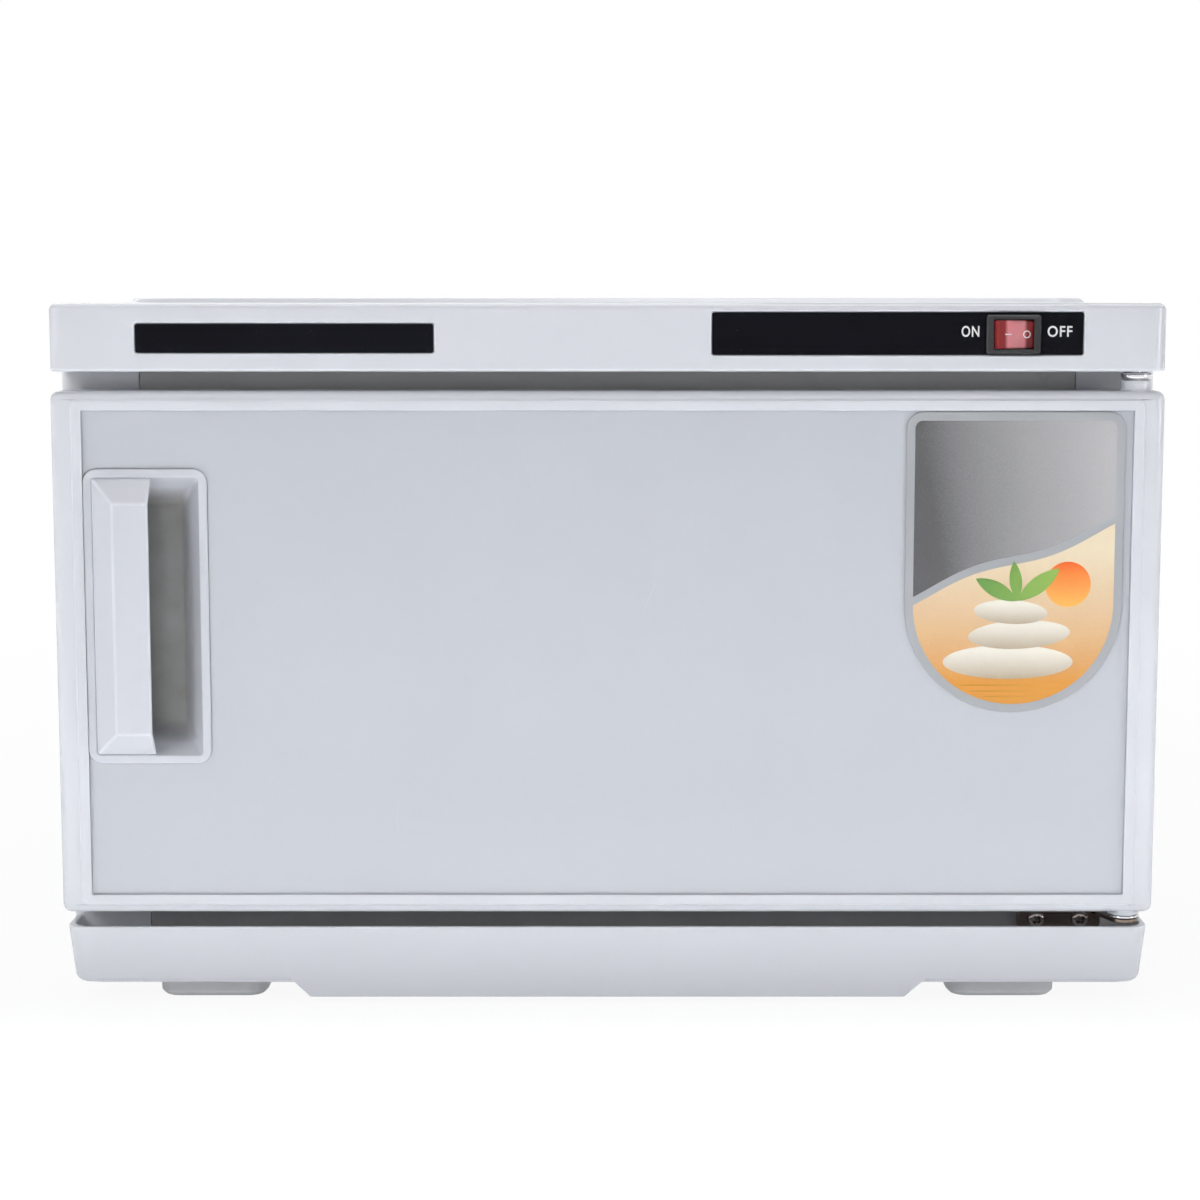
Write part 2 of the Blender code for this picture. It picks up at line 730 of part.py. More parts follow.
def rear_screw_places():
    """Return where the rear panel's screws sit, seen from behind."""
    across = HALF_WIDTH - REAR_FLANGE_WIDTH * REAR_SCREW_SHARE
    low = CASING_BOTTOM + REAR_SCREW_INSET
    high = CASING_TOP - REAR_SCREW_INSET
    return ((-across, low), (across, low), (-across, high), (across, high))


def screw_holes(centres, axis, low, high):
    """Return cutters for screw shanks."""
    return [
        cylinder("hole", centre, axis, SCREW_SHANK_RADIUS + SEAT_GAP, low, high, sides=SMALL_ROUND_SIDES)
        for centre in centres
    ]


def make_side_panels():
    """Painted sheet sides, each wrapped round to the front and the rear."""
    for name, side in (("left", -1), ("right", 1)):
        panel = prism(f"side_panel_{name}", side_outline(side), "z", CASING_BOTTOM, CASING_TOP, "white_paint")
        rear = [centre for centre in rear_screw_places() if centre[0] * side > 0]
        holes = screw_holes(rear, "y", BODY_REAR - OVERRUN, BODY_REAR + OVERRUN)
        if side > 0:
            holes += screw_holes(hinge_screw_places()[1:], "y", BODY_FRONT - OVERRUN, BODY_FRONT + OVERRUN)
        finish_off(cut(panel, *holes))


def upper_bracket_screws():
    """Return where the two upper hinge screws sit, seen from above."""
    centre_x = HINGE_X - (UPPER_BRACKET_WIDTH / 2 - BRACKET_EYE_RADIUS)
    far = HINGE_Y + UPPER_BRACKET_LENGTH - UPPER_SCREW_INSET
    return ((centre_x, far), (centre_x, far - UPPER_SCREW_SPACING))


def lead_hole_centre():
    """Return where the leads pass up through the top panel."""
    return (SWITCH_X, BODY_REAR - SHEET - LEAD_HOLE_INSET)


def make_top_panel():
    """Sheet that closes the casing under the lid."""
    side = HALF_WIDTH - SHEET - SEAT_GAP
    y_range = (CHAMBER_FRONT, BODY_REAR - SHEET - SEAT_GAP)
    z_range = (CASING_TOP - SHEET, CASING_TOP)
    outline = rounded_rectangle((-side, side), y_range, POST_RADIUS - SHEET - SEAT_GAP)
    panel = prism("top_panel", outline, "z", *z_range, "zinc")
    low, high = grown(z_range, OVERRUN)
    hole = cylinder("hole", lead_hole_centre(), "z", LEAD_HOLE_RADIUS, low, high)
    cut(panel, hole, *screw_holes(upper_bracket_screws(), "z", low, high))
    return finish_off(panel)


def gland_centre():
    """Return the cord gland's centre, seen from the front."""
    return (HALF_WIDTH - GLAND_SIDE_INSET, CASING_BOTTOM + GLAND_RISE)


def make_rear_panel():
    """Screwed-on rear sheet with vent slots and the gland's hole."""
    side = HALF_WIDTH - REAR_PANEL_MARGIN
    y_range = (BODY_REAR + SEAT_GAP, BODY_REAR + SEAT_GAP + SHEET)
    outline = rounded_rectangle((-side, side), (CASING_BOTTOM, CASING_TOP), REAR_PANEL_MARGIN)
    panel = prism("rear_panel", outline, "y", *y_range, "white_paint")
    low, high = grown(y_range, OVERRUN)
    holes = screw_holes(rear_screw_places(), "y", low, high)
    holes.append(cylinder("hole", gland_centre(), "y", GLAND_BODY_RADIUS + SEAT_GAP, low, high))
    for side in (-1, 1):
        for slot in range(VENT_COUNT):
            height = CASING_TOP - VENT_TOP_INSET - slot * VENT_PITCH
            centre_x = side * VENT_OFFSET
            holes.append(box("vent", about(centre_x, VENT_WIDTH), (low, high), about(height, VENT_HEIGHT)))
    cut(panel, *holes)
    return finish_off(panel)


def make_rear_screws():
    """Screws that hold the rear panel to the side panels."""
    for number, centre in enumerate(rear_screw_places(), start=1):
        seat = BODY_REAR + SEAT_GAP + SHEET
        make_screw(f"rear_screw_{number}", centre, "y", seat, -REAR_SCREW_GRIP)


def make_cord_gland():
    """Grommet for the power cord in the rear panel."""
    outer_start = BODY_REAR + SEAT_GAP + SHEET + SEAT_GAP
    inner_end = BODY_REAR - SHEET - SEAT_GAP
    gland = turned(
        "cord_gland",
        gland_centre(),
        "y",
        (
            (GLAND_FLANGE_RADIUS - GLAND_CHAMFER, inner_end - GLAND_INNER_DEPTH),
            (GLAND_FLANGE_RADIUS, inner_end - GLAND_INNER_DEPTH + GLAND_CHAMFER),
            (GLAND_FLANGE_RADIUS, BODY_REAR),
            (GLAND_BODY_RADIUS, BODY_REAR),
            (GLAND_BODY_RADIUS, outer_start),
            (GLAND_FLANGE_RADIUS, outer_start),
            (GLAND_FLANGE_RADIUS - GLAND_CHAMFER, REAR),
        ),
        "black_plastic",
    )
    bore = cylinder("bore", gland_centre(), "y", GLAND_BORE_RADIUS, inner_end - GLAND_INNER_DEPTH - OVERRUN,
                    REAR + OVERRUN)
    return finish_off(cut(gland, bore))


# Front frame and heated chamber


def chamber_outline(grow):
    """Return the chamber mouth's outline, seen from the front, grown by an amount."""
    x_range = grown((-CHAMBER_SIDE, CHAMBER_SIDE), grow)
    z_range = grown((CHAMBER_BOTTOM, CHAMBER_TOP), grow)
    return rounded_rectangle(x_range, z_range, CHAMBER_CORNER_RADIUS + grow)


def make_front_frame():
    """Moulded frame round the chamber's mouth, between the two posts."""
    side = HALF_WIDTH - POST_WIDTH - SEAT_GAP
    frame = box(
        "front_frame",
        (-side, side),
        (BODY_FRONT, BODY_FRONT + FRAME_THICKNESS),
        (CASING_BOTTOM, CASING_TOP - SEAT_GAP),
        "white_plastic",
    )
    low, high = BODY_FRONT - OVERRUN, BODY_FRONT + FRAME_THICKNESS + OVERRUN
    mouth = prism("mouth", chamber_outline(0), "y", low, high)
    return finish_off(cut(frame, mouth, *screw_holes(hinge_screw_places()[:1], "y", low, high)))


def rail_top():
    """Return the height that the rack stands on."""
    return CHAMBER_BOTTOM + RAIL_RISE + LINER_WALL


def make_inner_liner():
    """Pressed aluminium chamber with a flange at its mouth and a rail on each side."""
    flange_end = CHAMBER_FRONT + LINER_WALL
    liner = prism("inner_liner", chamber_outline(LINER_FLANGE), "y", CHAMBER_FRONT, flange_end, "aluminium")
    shell = prism("shell", chamber_outline(LINER_WALL), "y", flange_end - JOIN_OVERLAP, CHAMBER_REAR)
    join(liner, shell)
    space = prism("space", chamber_outline(0), "y", CHAMBER_FRONT - OVERRUN, CHAMBER_REAR - LINER_WALL)
    cut(liner, space)
    for side in (-1, 1):
        edges = sorted((side * (CHAMBER_SIDE - RAIL_WIDTH), side * (CHAMBER_SIDE + LINER_WALL / 2)))
        y_range = grown((CHAMBER_FRONT, CHAMBER_REAR - LINER_WALL), -RAIL_END_INSET)
        join(liner, box("rail", edges, y_range, (rail_top() - LINER_WALL, rail_top())))
    return finish_off(liner)


def make_drip_tray():
    """Shallow pan on the chamber's floor."""
    side = CHAMBER_SIDE - TRAY_SIDE_GAP
    y_range = grown((CHAMBER_FRONT, CHAMBER_REAR - LINER_WALL), -RAIL_END_INSET)
    bottom = CHAMBER_BOTTOM + SEAT_GAP
    outer = rounded_rectangle((-side, side), y_range, TRAY_CORNER_RADIUS)
    inner = rounded_rectangle(
        grown((-side, side), -TRAY_WALL), grown(y_range, -TRAY_WALL), TRAY_CORNER_RADIUS - TRAY_WALL
    )
    tray = prism("drip_tray", outer, "z", bottom, bottom + TRAY_HEIGHT, "aluminium")
    hollow = prism("hollow", inner, "z", bottom + TRAY_WALL, bottom + TRAY_HEIGHT + OVERRUN)
    return finish_off(cut(tray, hollow))


def wire(name, points, radius, finish=None, closed=False):
    """Make a round bar along a list of points."""
    curve = bpy.data.curves.new(name, "CURVE")
    curve.dimensions = "3D"
    curve.bevel_depth = radius
    curve.bevel_resolution = WIRE_BEVEL_STEPS
    curve.use_fill_caps = True
    spline = curve.splines.new("POLY")
    spline.points.add(len(points) - 1)
    for spot, point in zip(spline.points, points):
        spot.co = (*point, 1)
    spline.use_cyclic_u = closed
    bar = bpy.data.objects.new(name, curve)
    bpy.context.scene.collection.objects.link(bar)
    if finish:
        curve.materials.append(material(finish))
    return bar


def to_mesh_piece(bar):
    """Turn a curve object into a mesh object of the same name."""
    graph = bpy.context.evaluated_depsgraph_get()
    mesh = bpy.data.meshes.new_from_object(bar.evaluated_get(graph))
    name = bar.name
    bpy.data.objects.remove(bar, do_unlink=True)
    piece = bpy.data.objects.new(name, mesh)
    bpy.context.scene.collection.objects.link(piece)
    return piece


def make_wire_rack():
    """Wire grille that stands on the rails."""
    side = CHAMBER_SIDE - RACK_SIDE_GAP - RACK_WIRE_RADIUS
    y_low, y_high = grown((CHAMBER_FRONT, CHAMBER_REAR - LINER_WALL), -RAIL_END_INSET)
    height = rail_top() + SEAT_GAP + RACK_WIRE_RADIUS
    rim = level(rounded_rectangle((-side, side), (y_low, y_high), RACK_CORNER_RADIUS, 3), height)
    rack = to_mesh_piece(wire("wire_rack", rim, RACK_WIRE_RADIUS, "chrome", closed=True))
    wires = []
    for number in range(1, RACK_WIRE_COUNT + 1):
        across = -side + 2 * side * number / (RACK_WIRE_COUNT + 1)
        ends = ((across, y_low, height), (across, y_high, height))
        wires.append(to_mesh_piece(wire("wire", ends, RACK_CROSS_RADIUS)))
    middle = (y_low + y_high) / 2
    brace = ((-side, middle, height), (side, middle, height))
    wires.append(to_mesh_piece(wire("brace", brace, RACK_BRACE_RADIUS)))
    return finish_off(join(rack, *wires))


# Insulation, heater and wiring


def make_insulation():
    """Foam slabs between the chamber and the casing, and the heating mat under the chamber."""
    shell_side = CHAMBER_SIDE + LINER_WALL
    shell_bottom = CHAMBER_BOTTOM - LINER_WALL
    shell_top = CHAMBER_TOP + LINER_WALL
    front = CHAMBER_FRONT + LINER_WALL + INSULATION_FRONT_GAP
    mat_bottom = shell_bottom - SEAT_GAP - HEATER_THICKNESS
    slab_top = shell_top + SEAT_GAP + INSULATION_TOP_THICKNESS
    casing_side = HALF_WIDTH - SHEET - SEAT_GAP

    lower = box(
        "insulation_bottom",
        (-shell_side, shell_side),
        (front, CHAMBER_REAR),
        (CASING_BOTTOM, mat_bottom - SEAT_GAP),
        "foam",
    )
    upper = box(
        "insulation_top",
        (-shell_side, shell_side),
        (front, CHAMBER_REAR),
        (shell_top + SEAT_GAP, slab_top),
        "foam",
    )
    rear = box(
        "insulation_rear",
        (-shell_side, shell_side),
        (CHAMBER_REAR + SEAT_GAP, CHAMBER_REAR + SEAT_GAP + INSULATION_REAR_THICKNESS),
        (CHAMBER_BOTTOM + INSULATION_REAR_RISE, shell_top),
        "foam",
    )
    slabs = [lower, upper, rear]
    for name, side in (("left", -1), ("right", 1)):
        edges = sorted((side * (shell_side + SEAT_GAP), side * casing_side))
        z_range = (CASING_BOTTOM, slab_top)
        slabs.append(box(f"insulation_{name}", edges, (front, CHAMBER_REAR), z_range, "foam"))
    for slab in slabs:
        finish_off(slab)
    y_range = (front, CHAMBER_REAR + HEATER_TAIL)
    z_range = (mat_bottom, mat_bottom + HEATER_THICKNESS)
    side = CHAMBER_SIDE - HEATER_SIDE_GAP
    finish_off(box("heater_mat", (-side, side), y_range, z_range, "heater_silicone"))


def make_sensors():
    """Bimetal thermostat and thermal fuse on the chamber's rear wall."""
    height = CHAMBER_BOTTOM + SENSOR_RISE
    start = CHAMBER_REAR + SEAT_GAP
    thermostat = turned(
        "thermostat",
        (THERMOSTAT_OFFSET, height),
        "y",
        (
            (THERMOSTAT_RADIUS, start),
            (THERMOSTAT_RADIUS, start + THERMOSTAT_CUP_DEPTH),
            (THERMOSTAT_NECK_RADIUS, start + THERMOSTAT_CUP_DEPTH),
            (THERMOSTAT_NECK_RADIUS, start + THERMOSTAT_DEPTH),
        ),
        "aluminium",
    )
    finish_off(thermostat)
    centre = (start + FUSE_RADIUS, height)
    fuse = turned(
        "thermal_fuse",
        centre,
        "x",
        (
            (FUSE_TIP_RADIUS, -FUSE_LENGTH / 2),
            (FUSE_RADIUS, FUSE_TIP_LENGTH - FUSE_LENGTH / 2),
            (FUSE_RADIUS, FUSE_LENGTH / 2 - FUSE_TIP_LENGTH),
            (FUSE_TIP_RADIUS, FUSE_LENGTH / 2),
        ),
        "nylon",
        SMALL_ROUND_SIDES,
    )
    finish_off(fuse)


def terminal_centre():
    """Return the middle of the terminal block, seen from above."""
    return (HALF_WIDTH - TERMINAL_INSET, BODY_REAR - SHEET - SEAT_GAP - TERMINAL_DEPTH / 2)


def terminal_pitch():
    """Return the distance from one way of the terminal block to the next."""
    return (TERMINAL_WIDTH - TERMINAL_RIB) / TERMINAL_WAYS


def make_terminal_block():
    """Three-way nylon terminal block on the deck."""
    centre_x, centre_y = terminal_centre()
    x_range, y_range = about(centre_x, TERMINAL_WIDTH), about(centre_y, TERMINAL_DEPTH)
    top = CASING_BOTTOM + TERMINAL_HEIGHT
    block = box("terminal_block", x_range, y_range, (CASING_BOTTOM, top), "nylon")
    bay = terminal_pitch() - TERMINAL_RIB
    for number in range(TERMINAL_WAYS):
        left = x_range[0] + TERMINAL_RIB + number * terminal_pitch()
        z_range = (top - TERMINAL_WELL_DEPTH, top + OVERRUN)
        cut(block, box("way", (left, left + bay), grown(y_range, OVERRUN), z_range))
    return finish_off(block)


def smooth_route(knots, per_span=3):
    """Return points of a smooth curve through the knots, its bends no wider than their spans."""
    knots = [Vector(knot) for knot in knots]
    spans = [after - before for before, after in zip(knots, knots[1:])]
    headings = [spans[0].normalized()]
    headings += [(one.normalized() + two.normalized()).normalized() for one, two in zip(spans, spans[1:])]
    headings.append(spans[-1].normalized())
    points = []
    for number, span in enumerate(spans):
        start, leave, arrive = knots[number], headings[number], headings[number + 1]
        reach = span.length
        for step in range(per_span):
            t = step / per_span
            bend = leave * (t - 2 * t**2 + t**3) + arrive * (t**3 - t**2)
            points.append(start + span * (3 * t**2 - 2 * t**3) + bend * reach)
    points.append(knots[-1])
    return points


def make_leads():
    """Leads inside the cabinet: terminal block to switch and back, and on to the mat."""
    block_x, block_y = terminal_centre()
    block_top = CASING_BOTTOM + TERMINAL_HEIGHT - TERMINAL_WELL_DEPTH + SEAT_GAP
    hole_x, hole_y = lead_hole_centre()
    switch_end = SWITCH_REAR + SWITCH_TERMINAL_LENGTH + SEAT_GAP
    run_height = LID_BOTTOM + LEAD_RISE
    leads = (
        ("supply_lead", block_x, -1, "nylon"),
        ("return_lead", block_x + terminal_pitch(), 1, "wire_blue"),
    )
    for name, way_x, side, finish in leads:
        riser_x = hole_x + side * LEAD_SPACING / 2
        knots = (
            (way_x, block_y, block_top + LEAD_RADIUS),
            (way_x, block_y, block_top + LEAD_LIFT),
            (riser_x, hole_y, (CHAMBER_BOTTOM + CHAMBER_TOP) / 2),
            (riser_x, hole_y, CASING_TOP - SHEET * 2),
            (riser_x, hole_y, LID_BOTTOM),
            (riser_x, hole_y - LEAD_RISE, run_height),
            (riser_x, hole_y - LEAD_EASE, run_height),
            (riser_x, switch_end + LEAD_DESCENT, run_height),
            (riser_x, switch_end + LEAD_EASE, run_height),
            (riser_x, switch_end + LEAD_RISE, SWITCH_Z),
            (riser_x, switch_end, SWITCH_Z),
        )
        wire(name, smooth_route(knots), LEAD_RADIUS, finish)
    mat_end = CHAMBER_REAR + HEATER_TAIL + SEAT_GAP
    mat_height = CHAMBER_BOTTOM - LINER_WALL - SEAT_GAP - HEATER_THICKNESS / 2
    start_x = block_x - terminal_pitch()
    knots = (
        (start_x, block_y, block_top + LEAD_RADIUS),
        (start_x, block_y, block_top + LEAD_LIFT),
        (start_x - LEAD_RISE, mat_end + LEAD_LIFT, mat_height + LEAD_RISE),
        (start_x - LEAD_LIFT, mat_end + LEAD_RISE, mat_height),
        (start_x - LEAD_LIFT, mat_end, mat_height),
    )
    wire("heater_lead", smooth_route(knots), LEAD_RADIUS, "nylon")


# Lid, strips and switch


def lid_loop(inset, height, radius):
    """Return the lid's outline, drawn in by an amount, at a height."""
    x_range = grown((-HALF_WIDTH, HALF_WIDTH), -inset)
    y_range = grown((FRONT, REAR), -inset)
    return level(rounded_rectangle(x_range, y_range, radius), height)


def strip_range(left, width, rise, height):
    """Return the ranges that a strip fills, seen from the front."""
    bottom = LID_BOTTOM + rise
    return (left, left + width), (bottom, bottom + height)


def strip_places():
    """Return each strip's name and the ranges that it fills."""
    title_left = -HALF_WIDTH + TITLE_STRIP_INSET
    control_left = HALF_WIDTH - CONTROL_STRIP_INSET - CONTROL_STRIP_WIDTH
    title = strip_range(title_left, TITLE_STRIP_WIDTH, TITLE_STRIP_RISE, TITLE_STRIP_HEIGHT)
    control = strip_range(control_left, CONTROL_STRIP_WIDTH, CONTROL_STRIP_RISE, CONTROL_STRIP_HEIGHT)
    return (("title_strip", title), ("control_strip", control))


def switch_cutter(grow):
    """Return a cutter for the switch's body through the lid's front."""
    x_range = grown(about(SWITCH_X, SWITCH_BODY_WIDTH), grow)
    z_range = grown(about(SWITCH_Z, SWITCH_BODY_HEIGHT), grow)
    return box("switch_hole", x_range, grown((FRONT, FRONT + LID_WALL), OVERRUN), z_range)


def make_top_cover():
    """Moulded lid: it overhangs the door, and its front carries the strips and the switch."""
    edge = LID_EDGE_RADIUS
    radius = LID_CORNER_RADIUS
    inner_radius = radius - LID_WALL
    lid = loft(
        "top_cover",
        (
            lid_loop(LID_LOWER_EDGE, LID_BOTTOM, radius),
            lid_loop(0, LID_BOTTOM + LID_LOWER_EDGE, radius),
            lid_loop(0, LID_EDGE_TOP - edge, radius),
            lid_loop(edge * ARC_SHARE, LID_EDGE_TOP - edge * ARC_SHARE, radius - edge * ARC_SHARE),
            lid_loop(edge, LID_EDGE_TOP, radius - edge),
            lid_loop(PLATEAU_INSET, LID_EDGE_TOP, PLATEAU_RADIUS),
            lid_loop(PLATEAU_INSET + PLATEAU_SLOPE, LID_TOP, PLATEAU_RADIUS),
        ),
        "white_plastic",
    )
    floor_bottom = LID_BOTTOM + LID_LIP
    floor_top = floor_bottom + LID_FLOOR
    hollow = loft("hollow", (
        lid_loop(LID_WALL, floor_top, inner_radius),
        lid_loop(LID_WALL, LID_EDGE_TOP - LID_WALL, inner_radius),
    ))
    recess = loft("recess", (
        lid_loop(LID_LIP_WIDTH, LID_BOTTOM - OVERRUN, radius - LID_LIP_WIDTH),
        lid_loop(LID_LIP_WIDTH, floor_bottom, radius - LID_LIP_WIDTH),
    ))
    side = HALF_WIDTH - LID_WALL
    passage = box(
        "passage",
        (-side, side),
        (BODY_FRONT + LID_WALL, REAR - LID_WALL - inner_radius),
        (floor_bottom - JOIN_OVERLAP, floor_top + JOIN_OVERLAP),
    )
    tools = [hollow, recess, passage, switch_cutter(SEAT_GAP)]
    for name, (x_range, z_range) in strip_places():
        outline = rounded_rectangle(x_range, z_range, STRIP_CORNER_RADIUS, 2)
        tools.append(prism("strip_recess", outline, "y", FRONT - OVERRUN, FRONT + STRIP_RECESS))
    return finish_off(cut(lid, *tools))


def make_strips():
    """Black strips set into the lid's front."""
    for name, (x_range, z_range) in strip_places():
        y_range = (FRONT + STRIP_RECESS - SEAT_GAP - STRIP_THICKNESS, FRONT + STRIP_RECESS - SEAT_GAP)
        outline = rounded_rectangle(grown(x_range, -SEAT_GAP), grown(z_range, -SEAT_GAP),
                                    STRIP_CORNER_RADIUS - SEAT_GAP, 2)
        strip = prism(name, outline, "y", *y_range, "black_gloss")
        if name == "control_strip":
            cut(strip, switch_cutter(SEAT_GAP))
        finish_off(strip)


def make_switch_housing():
    """Snap-in rocker switch body with its bezel and blade terminals."""
    bezel_range = about(SWITCH_X, SWITCH_BEZEL_WIDTH), about(SWITCH_Z, SWITCH_BEZEL_HEIGHT)
    slim_x, slim_z = (grown(span, -SWITCH_BEZEL_RADIUS / 2) for span in bezel_range)
    bezel_back = SWITCH_FRONT + SWITCH_BEZEL_PROUD
    middle = SWITCH_FRONT + SWITCH_BEZEL_RADIUS / 2
    loops = []
    stages = (((slim_x, slim_z), SWITCH_FRONT), (bezel_range, middle), (bezel_range, bezel_back))
    for (x_range, z_range), depth in stages:
        loops.append(facing(rounded_rectangle(x_range, z_range, SWITCH_BEZEL_RADIUS, 2), depth))
    housing = loft("switch_housing", loops, "black_plastic")
    body = box("body", about(SWITCH_X, SWITCH_BODY_WIDTH), (bezel_back - JOIN_OVERLAP, SWITCH_REAR),
               about(SWITCH_Z, SWITCH_BODY_HEIGHT))
    blades = []
    for offset in about(0, SWITCH_TERMINAL_SPACING):
        blade_x = about(SWITCH_X + offset, SWITCH_TERMINAL_WIDTH)
        blade_y = (SWITCH_REAR - JOIN_OVERLAP, SWITCH_REAR + SWITCH_TERMINAL_LENGTH)
        blades.append(box("blade", blade_x, blade_y, about(SWITCH_Z, SWITCH_TERMINAL_HEIGHT)))
    join(housing, body, *blades)

    window_z = about(SWITCH_Z, SWITCH_WINDOW_HEIGHT)
    window = box("window", about(SWITCH_X, SWITCH_WINDOW_WIDTH), (SWITCH_FRONT - OVERRUN, ROCKER_Y), window_z)
    well = cylinder("well", (SWITCH_X, ROCKER_Y), "z", ROCKER_RADIUS + SEAT_GAP, *window_z)
    return finish_off(cut(housing, window, well))


def make_switch_rocker():
    """Rocker with a dished face, pivoting about an upright axis, resting with its off side in."""
    end_angle = math.degrees(math.asin(ROCKER_EDGE_DEPTH / ROCKER_RADIUS))
    outline = arc((0, 0), ROCKER_RADIUS, -end_angle, 180 + end_angle, ROUND_SIDES)
    outline.append((0, ROCKER_DISH - ROCKER_EDGE_DEPTH))
    half_height = SWITCH_WINDOW_HEIGHT / 2 - SEAT_GAP
    rocker = prism("switch_rocker", outline, "z", -half_height, half_height, "red_plastic")
    finish_off(rocker, (0, 0, 0))
    rocker.location = (SWITCH_X, ROCKER_Y, SWITCH_Z)
    rocker.rotation_euler = (0, 0, ROCKER_TILT)
    return rocker


# Door


def cavity_outline(shrink):
    """Return the hollow behind the door's plate, seen from the front, with its two hinge blocks."""
    left = -HALF_WIDTH + DOOR_WALL + shrink
    right = HALF_WIDTH - DOOR_HINGE_WALL - shrink
    block = right - DOOR_BLOCK_WIDTH
    bottom = DOOR_BOTTOM + DOOR_WALL + shrink
    top = DOOR_TOP - DOOR_WALL - shrink
    return (
        (left, bottom),
        (block, bottom),
        (block, bottom + DOOR_BLOCK_HEIGHT),
        (right, bottom + DOOR_BLOCK_HEIGHT),
        (right, top - DOOR_BLOCK_HEIGHT),
        (block, top - DOOR_BLOCK_HEIGHT),
        (block, top),
        (left, top),
    )


def door_liner_range(shrink):
    """Return the ranges of the liner's recess, seen from the front."""
    x_range = (-HALF_WIDTH + DOOR_WALL + shrink, HALF_WIDTH - DOOR_HINGE_WALL - shrink)
    z_range = (DOOR_BOTTOM + DOOR_WALL + shrink, DOOR_TOP - DOOR_WALL - shrink)
    return x_range, z_range


def handle_body_range(grow):
    """Return the ranges of the handle's pocket body, seen from the front."""
    x_range = grown((HANDLE_LEFT, HANDLE_RIGHT), grow - HANDLE_BODY_INSET)
    z_range = grown((HANDLE_BOTTOM, HANDLE_TOP), grow - HANDLE_BODY_INSET)
    return x_range, z_range


def door_slab():
    """Return the door's outer block with its visible edges rounded."""
    x_range, z_range = (-HALF_WIDTH, HALF_WIDTH), (DOOR_BOTTOM, DOOR_TOP)
    slab = box("door_frame", x_range, (DOOR_RIM_FRONT, DOOR_REAR), z_range, "white_plastic")

    def visible(start, end):
        """Choose the front edges, the corner edges and the upright edge at the hinge's rear."""
        if near(start.y, DOOR_RIM_FRONT) and near(end.y, DOOR_RIM_FRONT):
            return True
        runs_back = not near(start.y, end.y)
        at_hinge = near(start.x, HALF_WIDTH) and near(end.x, HALF_WIDTH)
        return runs_back or (at_hinge and not near(start.z, end.z))

    return round_edges(slab, DOOR_EDGE_RADIUS, 3, visible)


def make_door_frame():
    """Moulded door: a raised ledge round the panel, a plate behind it, and a hollow at the rear."""
    frame = door_slab()
    hinge = (HINGE_X, HINGE_Y)
    upper_boss = cylinder("boss", hinge, "z", DOOR_BOSS_RADIUS, DOOR_TOP - JOIN_OVERLAP,
                          DOOR_TOP + UPPER_BOSS_HEIGHT)
    lower_boss = cylinder("boss", hinge, "z", DOOR_BOSS_RADIUS, LOWER_BOSS_BOTTOM, DOOR_BOTTOM + JOIN_OVERLAP)
    ledge_x = grown((PANEL_LEFT, PANEL_RIGHT), DOOR_LEDGE)
    ledge_z = grown((PANEL_BOTTOM, PANEL_TOP), DOOR_LEDGE)
    ledge = prism("ledge", rounded_rectangle(ledge_x, ledge_z, DOOR_LEDGE / 2, 2), "y", FRONT,
                  DOOR_RIM_FRONT + JOIN_OVERLAP)
    join(frame, upper_boss, lower_boss, ledge)

    recess = box("recess", (PANEL_LEFT, PANEL_RIGHT), (FRONT - OVERRUN, PLATE_FRONT),
                 (PANEL_BOTTOM, PANEL_TOP))
    hollow = prism("hollow", cavity_outline(0), "y", PLATE_REAR, DOOR_REAR + OVERRUN)
    liner_x, liner_z = door_liner_range(0)
    liner_seat = box("liner_seat", liner_x, (DOOR_REAR - SEAT_GAP * 2 - DOOR_LINER, DOOR_REAR + OVERRUN * 2),
                     liner_z)
    body_x, body_z = handle_body_range(SEAT_GAP)
    window = box("window", body_x, (FRONT - OVERRUN, PLATE_REAR + OVERRUN), body_z)
    bore_radius = BUSH_RADIUS + SEAT_GAP
    upper_bore = cylinder("bore", hinge, "z", bore_radius, upper_bush_range()[0] - SEAT_GAP,
                          DOOR_TOP + UPPER_BOSS_HEIGHT + OVERRUN)
    lower_bore = cylinder("bore", hinge, "z", bore_radius, LOWER_BOSS_BOTTOM - OVERRUN,
                          lower_bush_range()[1] + SEAT_GAP)
    cut(frame, recess, hollow, liner_seat, window, upper_bore, lower_bore)
    return finish_off(frame, (HINGE_X, HINGE_Y, DOOR_BOTTOM))


def make_door_panel():
    """Glossy face sheet with a notch for the handle."""
    x_range = grown((PANEL_LEFT, PANEL_RIGHT), -SEAT_GAP)
    z_range = grown((PANEL_BOTTOM, PANEL_TOP), -SEAT_GAP)
    panel = box("door_panel", x_range, (PANEL_FRONT, PANEL_REAR), z_range, "white_panel")
    notch_x = grown((HANDLE_LEFT, HANDLE_RIGHT), SEAT_GAP)
    notch_z = grown((HANDLE_BOTTOM, HANDLE_TOP), SEAT_GAP)
    outline = rounded_rectangle(notch_x, notch_z, HANDLE_RADIUS + SEAT_GAP)
    notch = prism("notch", outline, "y", *grown((PANEL_FRONT, PANEL_REAR), OVERRUN))
    return finish_off(cut(panel, notch))


